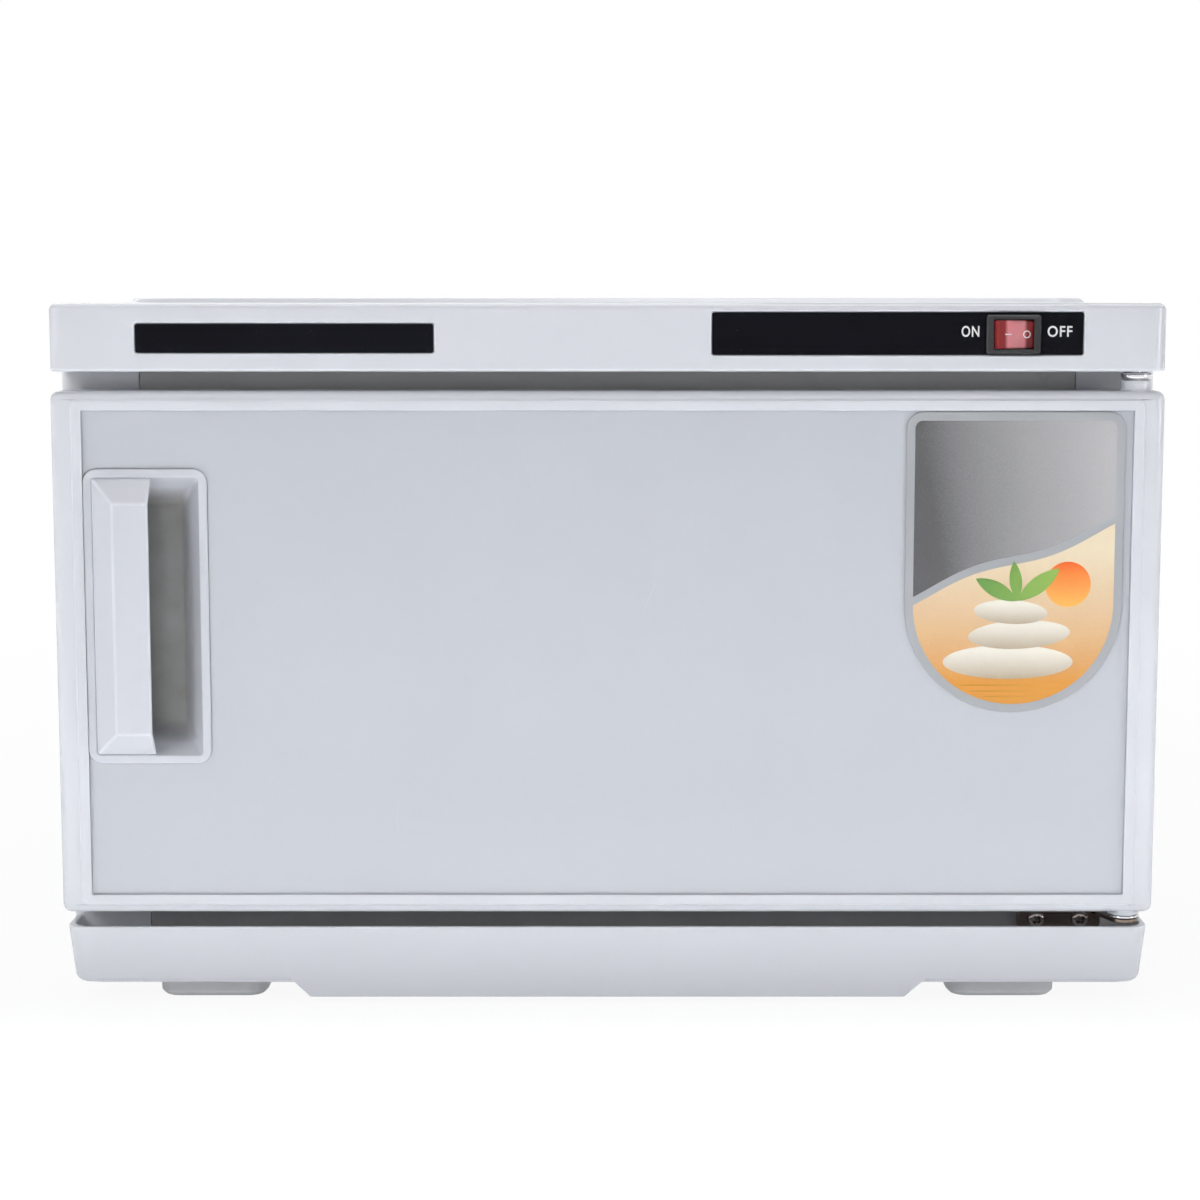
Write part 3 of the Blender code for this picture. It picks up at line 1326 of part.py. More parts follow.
def grip_wedge():
    """Return the raised grip: a flat front with a sloped facet at its left, top and bottom."""
    left = HANDLE_LEFT + HANDLE_BORDER
    right = left + GRIP_WIDTH
    bottom, top = HANDLE_BOTTOM + HANDLE_BORDER, HANDLE_TOP - HANDLE_BORDER
    root = HANDLE_FRONT + JOIN_OVERLAP
    crest = FRONT - GRIP_PROUD
    low = ((left, bottom), (right, bottom), (right, top), (left, top))
    high = (
        (left + GRIP_FACET, bottom + GRIP_FACET),
        (right, bottom + GRIP_FACET),
        (right, top - GRIP_FACET),
        (left + GRIP_FACET, top - GRIP_FACET),
    )
    return loft("grip", [facing(low, root), facing(high, crest)])


def pocket_front():
    """Return a cutter for the pocket's open part, beside the grip."""
    left = HANDLE_LEFT + HANDLE_BORDER + GRIP_WIDTH
    right = HANDLE_RIGHT - HANDLE_BORDER
    bottom, top = HANDLE_BOTTOM + HANDLE_BORDER, HANDLE_TOP - HANDLE_BORDER
    mouth = HANDLE_FRONT - OVERRUN
    floor = HANDLE_REAR - HANDLE_WALL
    slope = OVERRUN / (floor - HANDLE_FRONT)
    mouth_x, mouth_z = (left, right + POCKET_SLOPE * slope), grown((bottom, top), POCKET_END_SLOPE * slope)
    floor_x, floor_z = (left, right - POCKET_SLOPE), grown((bottom, top), -POCKET_END_SLOPE)
    loops = []
    for (x_low, x_high), (z_low, z_high), depth in ((mouth_x, mouth_z, mouth), (floor_x, floor_z, floor)):
        corners = ((x_low, z_low), (x_high, z_low), (x_high, z_high), (x_low, z_high))
        loops.append(facing(corners, depth))
    return loft("pocket_front", loops)


def pocket_behind_grip():
    """Return a cutter for the finger room behind the grip."""
    left = HANDLE_LEFT + HANDLE_BORDER
    open_edge = left + GRIP_WIDTH + JOIN_OVERLAP
    bottom, top = HANDLE_BOTTOM + HANDLE_BORDER, HANDLE_TOP - HANDLE_BORDER
    floor = HANDLE_REAR - HANDLE_WALL
    under = FRONT - GRIP_PROUD + GRIP_THICKNESS
    wall = HANDLE_WALL
    crest_inset = GRIP_FACET + wall / 2
    stages = (
        (left + wall, grown((bottom, top), -POCKET_END_SLOPE), floor),
        (left + wall, grown((bottom, top), -wall), HANDLE_FRONT + POCKET_SHOULDER),
        (left + crest_inset, grown((bottom, top), -crest_inset), under),
    )
    loops = []
    for start, (z_low, z_high), depth in stages:
        corners = ((start, z_low), (open_edge, z_low), (open_edge, z_high), (start, z_high))
        loops.append(facing(corners, depth))
    return loft("pocket_behind", loops)


def make_door_handle():
    """Recessed pull: a bezel, a raised grip and a finger pocket that runs behind the grip."""
    outline = rounded_rectangle((HANDLE_LEFT, HANDLE_RIGHT), (HANDLE_BOTTOM, HANDLE_TOP), HANDLE_RADIUS)
    handle = prism("door_handle", outline, "y", HANDLE_FRONT, PANEL_REAR, "white_plastic")
    body_x, body_z = handle_body_range(0)
    body = box("body", body_x, (PANEL_REAR - JOIN_OVERLAP, HANDLE_REAR), body_z)
    join(handle, body, grip_wedge())
    cut(handle, pocket_front(), pocket_behind_grip())
    return finish_off(handle, (HINGE_X, HINGE_Y, HANDLE_BOTTOM))


def make_door_liner():
    """Inner sheet of the door, raised in the middle so that it stands in the chamber's mouth."""
    front = DOOR_REAR - SEAT_GAP - DOOR_LINER
    rear = DOOR_REAR - SEAT_GAP
    liner_x, liner_z = door_liner_range(SEAT_GAP)
    liner = box("door_liner", liner_x, (front, rear), liner_z, "aluminium")
    low = chamber_outline(-DOOR_LINER_MARGIN)
    high = chamber_outline(-DOOR_LINER_MARGIN - DOOR_LINER_DRAFT)
    join(liner, loft("rise", [facing(low, rear - JOIN_OVERLAP), facing(high, rear + DOOR_LINER_RISE)]))
    return finish_off(liner, (HINGE_X, HINGE_Y, DOOR_BOTTOM))


def make_door_insulation():
    """Foam core of the door, cut out round the handle's pocket."""
    core = prism("door_insulation", cavity_outline(SEAT_GAP), "y", PLATE_REAR + SEAT_GAP,
                 DOOR_REAR - SEAT_GAP * 2 - DOOR_LINER, "foam")
    body_x, body_z = handle_body_range(SEAT_GAP)
    room = box("room", body_x, (PLATE_REAR - OVERRUN, DOOR_REAR), body_z)
    return finish_off(cut(core, room), (HINGE_X, HINGE_Y, DOOR_BOTTOM))


def make_door_gasket():
    """Soft seal on the door's inner side."""
    x_range = (-HALF_WIDTH + GASKET_SIDE_INSET, HALF_WIDTH - GASKET_HINGE_INSET)
    z_range = grown((DOOR_BOTTOM, DOOR_TOP), -GASKET_SIDE_INSET)
    y_range = (DOOR_REAR, BODY_FRONT - SEAT_GAP)
    outer = rounded_rectangle(x_range, z_range, GASKET_CORNER_RADIUS)
    inner = rounded_rectangle(
        grown(x_range, -GASKET_WIDTH), grown(z_range, -GASKET_WIDTH), GASKET_CORNER_RADIUS / 2
    )
    gasket = prism("door_gasket", outer, "y", *y_range, "grey_gasket")
    return finish_off(cut(gasket, prism("inside", inner, "y", *grown(y_range, OVERRUN))),
                      (HINGE_X, HINGE_Y, DOOR_BOTTOM))


def make_door_label():
    """Printed plate on the door: square at the top and round at the bottom."""
    right = PANEL_RIGHT - LABEL_SIDE_INSET
    left = right - LABEL_WIDTH
    top = PANEL_TOP - LABEL_TOP_INSET
    radius = LABEL_WIDTH / 2
    centre = (left + radius, top - LABEL_HEIGHT + radius)
    corner = LABEL_CORNER_RADIUS
    outline = arc(centre, radius, 180, 360, ROUND_SIDES)
    outline += arc((right - corner, top - corner), corner, 0, 90, CORNER_STEPS)
    outline += arc((left + corner, top - corner), corner, 90, 180, CORNER_STEPS)
    y_range = (PANEL_FRONT - SEAT_GAP - LABEL_THICKNESS, PANEL_FRONT - SEAT_GAP)
    return finish_off(prism("door_label", outline, "y", *y_range, "label_print"), (HINGE_X, HINGE_Y, top))


# Hinges


def upper_bush_range():
    """Return the heights that the upper bush fills."""
    top = DOOR_TOP + UPPER_BOSS_HEIGHT
    return (top - BUSH_LENGTH, top)


def lower_bush_range():
    """Return the heights that the lower bush fills."""
    return (LOWER_BOSS_BOTTOM, LOWER_BOSS_BOTTOM + BUSH_LENGTH)


def tube(name, radius, bore_radius, z_range, finish):
    """Make a round tube on the hinge's axis."""
    centre = (HINGE_X, HINGE_Y)
    outer = cylinder(name, centre, "z", radius, *z_range, finish)
    return cut(outer, cylinder("bore", centre, "z", bore_radius, *grown(z_range, OVERRUN)))


def eye_outline(root):
    """Return a tongue that runs from its root edge to a round eye on the hinge's axis."""
    start, end = root
    centre = Vector((HINGE_X, HINGE_Y))
    heading = centre - (Vector(start) + Vector(end)) / 2
    angle = math.degrees(math.atan2(heading.y, heading.x))
    eye = arc((HINGE_X, HINGE_Y), BRACKET_EYE_RADIUS, angle - 90, angle + 90, SMALL_ROUND_SIDES)
    return [start] + eye + [end]


def make_lower_bracket():
    """Angle bracket: an upright plate on the cabinet's front and a tongue out to the pin."""
    left, right = bracket_plate_range()
    rear = BODY_FRONT - SEAT_GAP
    front = rear - BRACKET_THICKNESS
    bottom = CASING_BOTTOM + BRACKET_PLATE_CLEARANCE
    outline = rounded_rectangle((left, right), (bottom, LOWER_BRACKET_TOP), BRACKET_CORNER_RADIUS, 2)
    bracket = prism("hinge_bracket_bottom", outline, "y", front, rear, "chrome")
    root = ((right - BRACKET_ROOT_WIDTH, rear - JOIN_OVERLAP), (right, rear - JOIN_OVERLAP))
    bottom_of_tongue = LOWER_BRACKET_TOP - BRACKET_THICKNESS
    join(bracket, prism("tongue", eye_outline(root), "z", bottom_of_tongue, LOWER_BRACKET_TOP))
    eye = cylinder("eye", (HINGE_X, HINGE_Y), "z", PIN_RADIUS + SEAT_GAP, bottom_of_tongue - OVERRUN,
                   LOWER_BRACKET_TOP + OVERRUN)
    holes = screw_holes(hinge_screw_places(), "y", front - OVERRUN, rear + OVERRUN)
    return finish_off(cut(bracket, eye, *holes))


def make_upper_bracket():
    """Flat bracket screwed to the top panel, under the lid's floor."""
    far = HINGE_Y + UPPER_BRACKET_LENGTH
    right = HINGE_X + BRACKET_EYE_RADIUS
    left = right - UPPER_BRACKET_WIDTH
    outline = [(right, far), (left, far), (left, HINGE_Y + UPPER_BRACKET_WIDTH)]
    outline += arc((HINGE_X, HINGE_Y), BRACKET_EYE_RADIUS, 180, 360, SMALL_ROUND_SIDES)
    z_range = (UPPER_BRACKET_BOTTOM, UPPER_BRACKET_BOTTOM + UPPER_BRACKET_THICKNESS)
    bracket = prism("hinge_bracket_top", outline, "z", *z_range, "chrome")
    low, high = grown(z_range, OVERRUN)
    eye = cylinder("eye", (HINGE_X, HINGE_Y), "z", PIN_RADIUS + SEAT_GAP, low, high)
    return finish_off(cut(bracket, eye, *screw_holes(upper_bracket_screws(), "z", low, high)))


def make_hinges():
    """Brackets, pins, washers, bushes and screws of both hinges."""
    make_lower_bracket()
    make_upper_bracket()
    centre = (HINGE_X, HINGE_Y)
    upper_bush, lower_bush = upper_bush_range(), lower_bush_range()
    pin_bore = PIN_RADIUS + SEAT_GAP
    pin_top = UPPER_BRACKET_BOTTOM + UPPER_BRACKET_THICKNESS
    pin_bottom = LOWER_BRACKET_TOP - BRACKET_THICKNESS
    upper_pin = cylinder("hinge_pin_top", centre, "z", PIN_RADIUS, upper_bush[0], pin_top, "chrome")
    lower_pin = cylinder("hinge_pin_bottom", centre, "z", PIN_RADIUS, pin_bottom, lower_bush[1], "chrome")
    upper_washer_range = (upper_bush[1] + SEAT_GAP, UPPER_WASHER_TOP)
    lower_washer_range = (LOWER_WASHER_BOTTOM, LOWER_WASHER_BOTTOM + LOWER_WASHER_THICKNESS)
    upper_washer = tube("hinge_washer_top", WASHER_RADIUS, pin_bore, upper_washer_range, "chrome")
    lower_washer = tube("hinge_washer_bottom", WASHER_RADIUS, pin_bore, lower_washer_range, "chrome")
    for piece in (upper_pin, lower_pin, upper_washer, lower_washer):
        finish_off(piece)
    axis_foot = (HINGE_X, HINGE_Y, DOOR_BOTTOM)
    finish_off(tube("hinge_bush_top", BUSH_RADIUS, pin_bore, upper_bush, "nylon"), axis_foot)
    finish_off(tube("hinge_bush_bottom", BUSH_RADIUS, pin_bore, lower_bush, "nylon"), axis_foot)

    bracket_face = BODY_FRONT - SEAT_GAP - BRACKET_THICKNESS
    for number, centre in enumerate(hinge_screw_places(), start=1):
        reach = HINGE_SCREW_GRIP + BRACKET_THICKNESS
        make_screw(f"hinge_screw_bottom_{number}", centre, "y", bracket_face, reach)
    for number, centre in enumerate(upper_bracket_screws(), start=1):
        make_screw(f"hinge_screw_top_{number}", centre, "z", pin_top, -HINGE_SCREW_GRIP)


DOOR_PIECES = (
    "door_frame",
    "door_panel",
    "door_handle",
    "door_liner",
    "door_insulation",
    "door_gasket",
    "door_label",
    "hinge_bush_top",
    "hinge_bush_bottom",
)


def hang_door():
    """Parent the door's pieces to an empty on the hinge's axis."""
    axis = bpy.data.objects.new("door_axis", None)
    bpy.context.scene.collection.objects.link(axis)
    axis.location = (HINGE_X, HINGE_Y, 0)
    for name in DOOR_PIECES:
        piece = bpy.data.objects[name]
        piece.parent = axis
        piece.location -= axis.location


def build():
    """Make every piece of the cabinet."""
    clear_scene()
    make_base_tray()
    make_bottom_cover()
    make_feet()
    make_side_panels()
    make_top_panel()
    make_rear_panel()
    make_rear_screws()
    make_cord_gland()
    make_front_frame()
    make_inner_liner()
    make_drip_tray()
    make_wire_rack()
    make_insulation()
    make_sensors()
    make_terminal_block()
    make_leads()
    make_top_cover()
    make_strips()
    make_switch_housing()
    make_switch_rocker()
    make_door_frame()
    make_door_panel()
    make_door_handle()
    make_door_liner()
    make_door_insulation()
    make_door_gasket()
    make_door_label()
    make_hinges()
    hang_door()


build()
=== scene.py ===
"""The looks of a countertop hot towel cabinet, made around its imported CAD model.

Metres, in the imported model's frame: +X is to the right of someone facing the door, the door faces
-Y, and +Z is up. Sizes come from the CAD nodes' boxes wherever a node has them.
"""

import json
import math

import bmesh
import bpy
from mathutils import Matrix, Vector


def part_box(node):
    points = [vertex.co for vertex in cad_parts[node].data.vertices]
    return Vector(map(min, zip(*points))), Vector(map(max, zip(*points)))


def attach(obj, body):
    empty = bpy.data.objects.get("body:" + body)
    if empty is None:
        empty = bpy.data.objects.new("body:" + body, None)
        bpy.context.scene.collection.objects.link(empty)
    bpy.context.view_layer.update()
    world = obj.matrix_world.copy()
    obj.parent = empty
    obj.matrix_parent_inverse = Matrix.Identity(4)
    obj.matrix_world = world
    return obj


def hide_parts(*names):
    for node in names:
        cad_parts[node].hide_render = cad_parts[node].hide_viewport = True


# Camera
CAMERA_PLACE = (-0.003, -1.1408, 0.284)
CAMERA_TILT = math.radians(83.15)
CAMERA_LENS_MM = 74.78
CAMERA_SENSOR_MM = 36
CAMERA_NEAR = 0.01

# Light
WORLD_COLOUR = (0.97, 0.985, 1.0, 1)
WORLD_FRONT = 0.0
WORLD_REAR = 0.9
WORLD_REAR_RANGE = (-0.2, 0.9)
WORLD_TOP = 0.25
WORLD_TOP_RANGE = (0.1, 0.8)
PLAIN_WHITE = (1, 1, 1, 1)
LAMPS = {
    "key": {"place": (-2.06, -2.45, 1.91), "width": 1.0, "height": 1.0, "power": 33.5},
    "left": {"place": (-1.4, -0.5, 0.5), "width": 0.16, "height": 1.0, "power": 2.0},
    "right": {"place": (2.5, -1.3, 0.75), "width": 0.55, "height": 1.4, "power": 20.5},
    "top": {"place": (0.1, -0.1, 1.45), "width": 1.5, "height": 0.3, "power": 6.4},
    "rear": {"place": (-0.4, 1.6, 1.2), "width": 1.2, "height": 0.8, "power": 4.0},
    "table": {"place": (0, -0.39, 0.4), "width": 1.1, "height": 0.12, "power": 11.0,
              "aim": (0, -0.39, 0), "spread": 50},
}
LAMP_AIM = (0, 0, 0.14)
FLOOR_SIZE = 8.0
FLOOR_CELLS = 8
FLOOR_COLOUR = (0.84, 0.85, 0.86, 1)
FLOOR_ROUGHNESS = 0.6
FLOOR_NEAR = 0.32
FLOOR_FAR = 1.1
FLOOR_WHITE_SHARE = 0.91

# Rounding of moulded and cut edges
WELD = 0.00001
SHARP_ANGLE = math.radians(33)
SMOOTH_ANGLE = math.radians(50)
EDGE_STEPS = 3

# Smoothness of round shapes
ROUND_STEPS = 40
CORNER_STEPS = 10

# Screws
SCREW_CROWN_STEPS = 8
CROSS_LENGTH_SHARE = 0.58
CROSS_WIDTH_SHARE = 0.24
CROSS_FLOOR_SHARE = 0.6
CROSS_MOUTH_SHARE = 1.2
CROSS_DEPTH = 0.0014
CROWN_POWER = 0.7
SHANK_SHARE = 0.42
TIP_SHARE = 0.6
HEAD_HEIGHT = 0.0018
HEAD_RIM = 0.0004
# How far the screws' crosses are turned, in degrees, in the order of their names
# (for each pair of hinge screws: the bottom one, then the top one)
FOOT_SCREW_TURNS = (17, 48, 79, 110)
REAR_SCREW_TURNS = (49, 86, 123, 160)
HINGE_SCREW_TURNS = ((48, 68), (40, 60))

# Label
LABEL_BORDER = 0.0034
LABEL_CORNER = 0.0065
LABEL_LEAST_CORNER = 0.001
LABEL_EDGE = 0.00015
BAND_LEFT_SHARE = 0.36
BAND_RIGHT_SHARE = 0.66
BAND_WIDTH = 0.0034
BAND_WAVE = 0.006
PRINT_LIFT = 0.00002
# Where the printed fields fade, as shares of the label's height
GREY_FADE_START = (0.1, 0.6)
GREY_FADE_END = 0.72
GREY_ROUGHNESS = 0.25
WARM_FADE = (0.1, 0.55)
GREY_COLOURS = ((0.050, 0.049, 0.051), (0.45, 0.44, 0.45))
WARM_COLOURS = ((0.50, 0.22, 0.04), (0.84, 0.72, 0.52))
SUN_COLOURS = ((0.80, 0.42, 0.10), (0.62, 0.10, 0.02))
SAND_COLOURS = ((0.34, 0.15, 0.02), (0.52, 0.26, 0.05))
STONE_COLOURS = ((0.36, 0.29, 0.20), (0.90, 0.86, 0.76))
LEAF_COLOURS = ((0.05, 0.13, 0.03), (0.22, 0.34, 0.07))

# Label's picture: places across from the middle are shares of its width, places up of its height
SUN_PLACE = (0.25, 0.43)
SUN_SIZE_SHARE = 0.21
SAND_FADE = 0.2
# Width and place up of each ripple
RIPPLES = ((0.5, 0.092), (0.4, 0.072), (0.27, 0.054))
RIPPLE_HEIGHT = 0.007
# Place, width, height and turn in degrees of each stone
STONES = (
    ((-0.02, 0.17), 0.60, 0.115, 0),
    ((0.03, 0.262), 0.47, 0.095, 3),
    ((-0.01, 0.338), 0.34, 0.08, -3),
)
LEAF_ROOT = (0.02, 0.375)
LEAF_FADE = (-0.2, 0.3)
# Length and width in metres, and turn in degrees, of each leaf
LEAVES = ((0.019, 0.0062, 152), (0.021, 0.0066, 38), (0.016, 0.005, 96))
LEAF_STEPS = 14
LEAF_POWER = 0.8

# Pocket behind the door pull
POCKET_DEPTH = 0.0085
POCKET_WALL = 0.0016
# Painted shade in the pocket: how far it fades out before the right wall, and its colour
POCKET_SHADE_FADE = 0.0015
POCKET_SHADE_COLOUR = (0.17, 0.165, 0.158, 1)

# Lettering
LETTER_HEIGHT = 0.0042
LETTER_SIZE_SHARE = 1.41
LETTER_WEIGHT = 0.00009
LETTER_SPACING = 1.15
LETTER_DEPTH = 0.00004
ON_CENTRE_X = 0.14295
ON_WIDTH_SHARE = 0.74
OFF_CENTRE_X = 0.1781
OFF_WIDTH_SHARE = 0.88
LETTER_CENTRE_Z = 0.2717

# Rocker: its painted highlight, a pale band, as shares of half its width, its dished face, and its marks
LENS_SHIFT_SHARE = 0.1
LENS_BAND_SHARE = 0.36
LENS_FADE_SHARE = 0.5
LENS_DEEP_COLOUR = (0.10, 0.004, 0.006, 1)
LENS_HIGHLIGHT_COLOUR = (0.98, 0.36, 0.40, 1)
ROCKER_REST_TURN = 12
DISH_TURN = 9.1
DISH_DEPTH = 0.0038
MARK_SIZE = 0.0015
MARK_LINE = 0.0002
MARK_STEPS = 4
MARK_RISE = 0.00004
BAR_ACROSS = 0.0032
RING_ACROSS = 0.0045

# Radius of the rounded edges of each CAD shape that is copied, and finishes other than its slot's
ROUNDED = {
    "base_tray": 0.0006,
    "top_cover": 0.0006,
    "front_frame": 0.0004,
    "door_frame": 0.00038,
    "door_liner": 0.0005,
    "side_panel_left": 0.0002,
    "side_panel_right": 0.0002,
    "rear_panel": 0.00025,
    "inner_liner": 0.0002,
    "drip_tray": 0.0003,
    "bottom_cover": 0.00015,
    "cord_gland": 0.0004,
    "title_strip": 0.00012,
    "control_strip": 0.00012,
    "switch_housing": 0.00012,
    "switch_rocker": 0.0004,
    **{f"insulation_{side}": 0.0015 for side in ("rear", "top", "left", "right")},
    **{f"hinge_bracket_{end}": 0.0003 for end in ("top", "bottom")},
    **{f"hinge_bush_{end}": 0.0002 for end in ("top", "bottom")},
    **{f"foot_{corner}": 0.0006 for corner in ("front_left", "front_right", "rear_left", "rear_right")},
}
# The front frame and the lower hinge bracket take darker copies of their finishes: painted shade of the gaps round
# the door
OTHER_FINISH = {"hinge_bracket_bottom": "lower_bracket_plating_shaded", "front_frame": "frame_plastic_shaded"}

# Face sheet of the door
PANEL_RADIUS = 0.00015
PANEL_GROWTH = 0.0002
PANEL_RIM_SHARE = 0.49

# Hinge washers
WASHER_BULGE_SHARE = 0.9
WASHER_STEPS = 10
WASHER_CLEARANCE = 0.0001

# Door pull
BEZEL_PROUD = 0.0012
BEZEL_CLOSE_FIT = 0.00018
BEZEL_EDGE = 0.0007
BEZEL_RADIUS = 0.0055
BORDER = 0.0036
OPENING_RADIUS = 0.0014
BODY_INSET = 0.0024
POCKET_SLOPE = 0.0065
POCKET_END_SLOPE = 0.009
POCKET_FILLET_SHARE = 0.34
GRIP_WIDTH = 0.0235
GRIP_FACET = 0.0095
GRIP_THICKNESS = 0.0026
GRIP_EDGE = 0.0009
GRIP_ROOT = 0.002
GRIP_OVERLAP = 0.0001
EDGE_LOOPS = 4
FILLET_LOOPS = 8

# Wire rack
RACK_CORNER = 0.010
RACK_WIRES = 11
RIM_RADIUS = 0.0015
CROSS_WIRE_RADIUS = 0.00125
WIRE_STEPS = 4

# Door seal
GASKET_WIDTH = 0.008
GASKET_CORNER = 0.006
GASKET_CORNER_SHARE = 0.5
# Places across the seal's section as shares of its width, and their heights as shares of its depth
GASKET_SHARES = (
    (0.0, 0.0), (0.0, 0.22), (0.06, 0.34), (0.14, 0.40), (0.18, 0.62), (0.26, 0.86), (0.38, 0.99),
    (0.46, 0.97), (0.50, 0.90), (0.54, 0.97), (0.62, 0.99), (0.74, 0.86), (0.82, 0.62), (0.86, 0.40),
    (0.94, 0.34), (1.0, 0.22), (1.0, 0.0),
)

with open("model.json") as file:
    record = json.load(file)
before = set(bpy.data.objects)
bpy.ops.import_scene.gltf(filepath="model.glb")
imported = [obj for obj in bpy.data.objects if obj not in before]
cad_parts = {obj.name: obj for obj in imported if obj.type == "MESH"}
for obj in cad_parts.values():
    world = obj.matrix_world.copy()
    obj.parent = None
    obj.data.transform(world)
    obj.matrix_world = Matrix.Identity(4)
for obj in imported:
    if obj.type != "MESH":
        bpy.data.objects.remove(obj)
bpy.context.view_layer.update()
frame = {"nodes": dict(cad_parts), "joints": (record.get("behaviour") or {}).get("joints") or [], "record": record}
slot_of = {part["node"]: part["material_slot"] for part in frame["record"]["subparts"]}
bodies = frame["record"]["behaviour"]["bodies"]
body_of = {name: body for body, names in bodies.items() for name in names}


# Node materials


def node(tree, kind, inputs=None, **settings):
    """Add a shader node; an input may be a value or another node's output."""
    made = tree.nodes.new(kind)
    for key, value in settings.items():
        setattr(made, key, value)
    for key, value in (inputs or {}).items():
        if isinstance(value, bpy.types.NodeSocket):
            tree.links.new(value, made.inputs[key])
        else:
            made.inputs[key].default_value = value
    return made


def new_material(name):
    """Make an empty node material; return it, its tree and its shader."""
    made = bpy.data.materials.new(name)
    made.use_nodes = True
    return made, made.node_tree, made.node_tree.nodes["Principled BSDF"]


def set_inputs(shader, values):
    """Set constants on a shader's own sockets."""
    for key, value in values.items():
        shader.inputs[key].default_value = value


def place_on_object(tree, stretch=(1, 1, 1)):
    """Return the object's own coordinates, stretched along its axes."""
    where = node(tree, "ShaderNodeTexCoord").outputs["Object"]
    if stretch == (1, 1, 1):
        return where
    return node(tree, "ShaderNodeMapping", {"Vector": where, "Scale": stretch}).outputs["Vector"]


def noise(tree, scale, detail, stretch=(1, 1, 1)):
    """Return a fractal noise, its scale in features per metre."""
    where = place_on_object(tree, stretch)
    inputs = {"Vector": where, "Scale": scale, "Detail": detail, "Roughness": 0.6}
    return node(tree, "ShaderNodeTexNoise", inputs).outputs["Fac"]


def cells(tree, scale, stretch=(1, 1, 1), **settings):
    """Return the outputs of a cell pattern, its scale in cells per metre."""
    inputs = {"Vector": place_on_object(tree, stretch), "Scale": scale}
    return node(tree, "ShaderNodeTexVoronoi", inputs, **settings).outputs


def spread(tree, value, low, high, start=0.3, end=0.7):
    """Map the part of a value between start and end to low and high."""
    inputs = {"Value": value, "From Min": start, "From Max": end, "To Min": low, "To Max": high}
    return node(tree, "ShaderNodeMapRange", inputs).outputs["Result"]


def times(tree, one, two):
    """Multiply two values."""
    return node(tree, "ShaderNodeMath", {0: one, 1: two}, operation="MULTIPLY").outputs[0]


def plus(tree, one, two):
    """Add two values."""
    return node(tree, "ShaderNodeMath", {0: one, 1: two}, operation="ADD").outputs[0]


def greater(tree, one, two):
    """Return the greater of two values."""
    return node(tree, "ShaderNodeMath", {0: one, 1: two}, operation="MAXIMUM").outputs[0]


def mixed(tree, share, one, two):
    """Mix two colours."""
    made = tree.nodes.new("ShaderNodeMix")
    made.data_type = "RGBA"
    for name, value in (("Factor", share), ("A", one), ("B", two)):
        colour_sockets = [s for s in made.inputs if s.name == name and s.type == "RGBA"]
        target = colour_sockets[0] if colour_sockets else made.inputs[name]
        if isinstance(value, bpy.types.NodeSocket):
            tree.links.new(value, target)
        else:
            target.default_value = value
    return [s for s in made.outputs if s.type == "RGBA"][0]


def shade(colour, share):
    """Return a colour made lighter or darker by a share."""
    return tuple(min(part * share, 1) for part in colour[:3]) + (1,)


def bump(tree, height, depth, under=None):
    """Return a normal raised by a height of 0 to 1, its depth in metres."""
    inputs = {"Height": height, "Distance": depth, "Strength": 1.0}
    if under:
        inputs["Normal"] = under
    return node(tree, "ShaderNodeBump", inputs).outputs["Normal"]


def edge_wear_and_highlight(tree, amount):
    """Return where rounded edges are rubbed and carry a painted highlight, from the edge mark that rounded pieces
    carry.
    """
    mark = node(tree, "ShaderNodeAttribute", attribute_name="edge").outputs["Fac"]
    patches = spread(tree, noise(tree, 40, 6), amount * 0.75, amount, 0.42, 0.62)
    return times(tree, mark, patches)


def tone_wear_and_highlight(tree, shader, colour, mottle, wear_and_highlight):
    """Give a shader a blotched colour, paler on edges from rubbing and a painted highlight; return how much each
    place is paled.
    """
    blotches = spread(tree, noise(tree, 14, 6), 0, 1)
    tone = mixed(tree, blotches, shade(colour, 1 - mottle), shade(colour, 1 + mottle))
    worn_and_lit = edge_wear_and_highlight(tree, wear_and_highlight)
    # Edges are made 18% paler: rubbing, and a painted highlight along them
    tree.links.new(mixed(tree, worn_and_lit, tone, shade(colour, 1.18)), shader.inputs["Base Color"])
    return worn_and_lit


def base_finish(name, colour, roughness, rough_spread, mottle, wear_and_highlight, grain=None):
    """Make a finish with soft blotches and edges paled by rubbing and a painted highlight; a grain, if any, is its
    scale and depth.
    """
    made, tree, shader = new_material(name)
    worn_and_lit = tone_wear_and_highlight(tree, shader, colour, mottle, wear_and_highlight)
    handled = spread(tree, noise(tree, 55, 8), -rough_spread, rough_spread)
    rough = plus(tree, plus(tree, handled, roughness), times(tree, worn_and_lit, 0.25))
    tree.links.new(rough, shader.inputs["Roughness"])
    if grain:
        scale, depth = grain
        tree.links.new(bump(tree, noise(tree, scale, 3), depth), shader.inputs["Normal"])
    return made, tree, shader


def tint(tree, shader, share, colour):
    """Mix a colour over a shader's base colour by a share."""
    before = shader.inputs["Base Color"].links[0].from_socket
    tree.links.new(mixed(tree, share, before, colour), shader.inputs["Base Color"])


def moulded_plastic(name, colour, roughness):
    """Injection-moulded gloss plastic with a faint orange peel."""
    return base_finish(name, colour, roughness, rough_spread=0.03, mottle=0.004, wear_and_highlight=0.8,
                       grain=(420, 0.000012))[0]


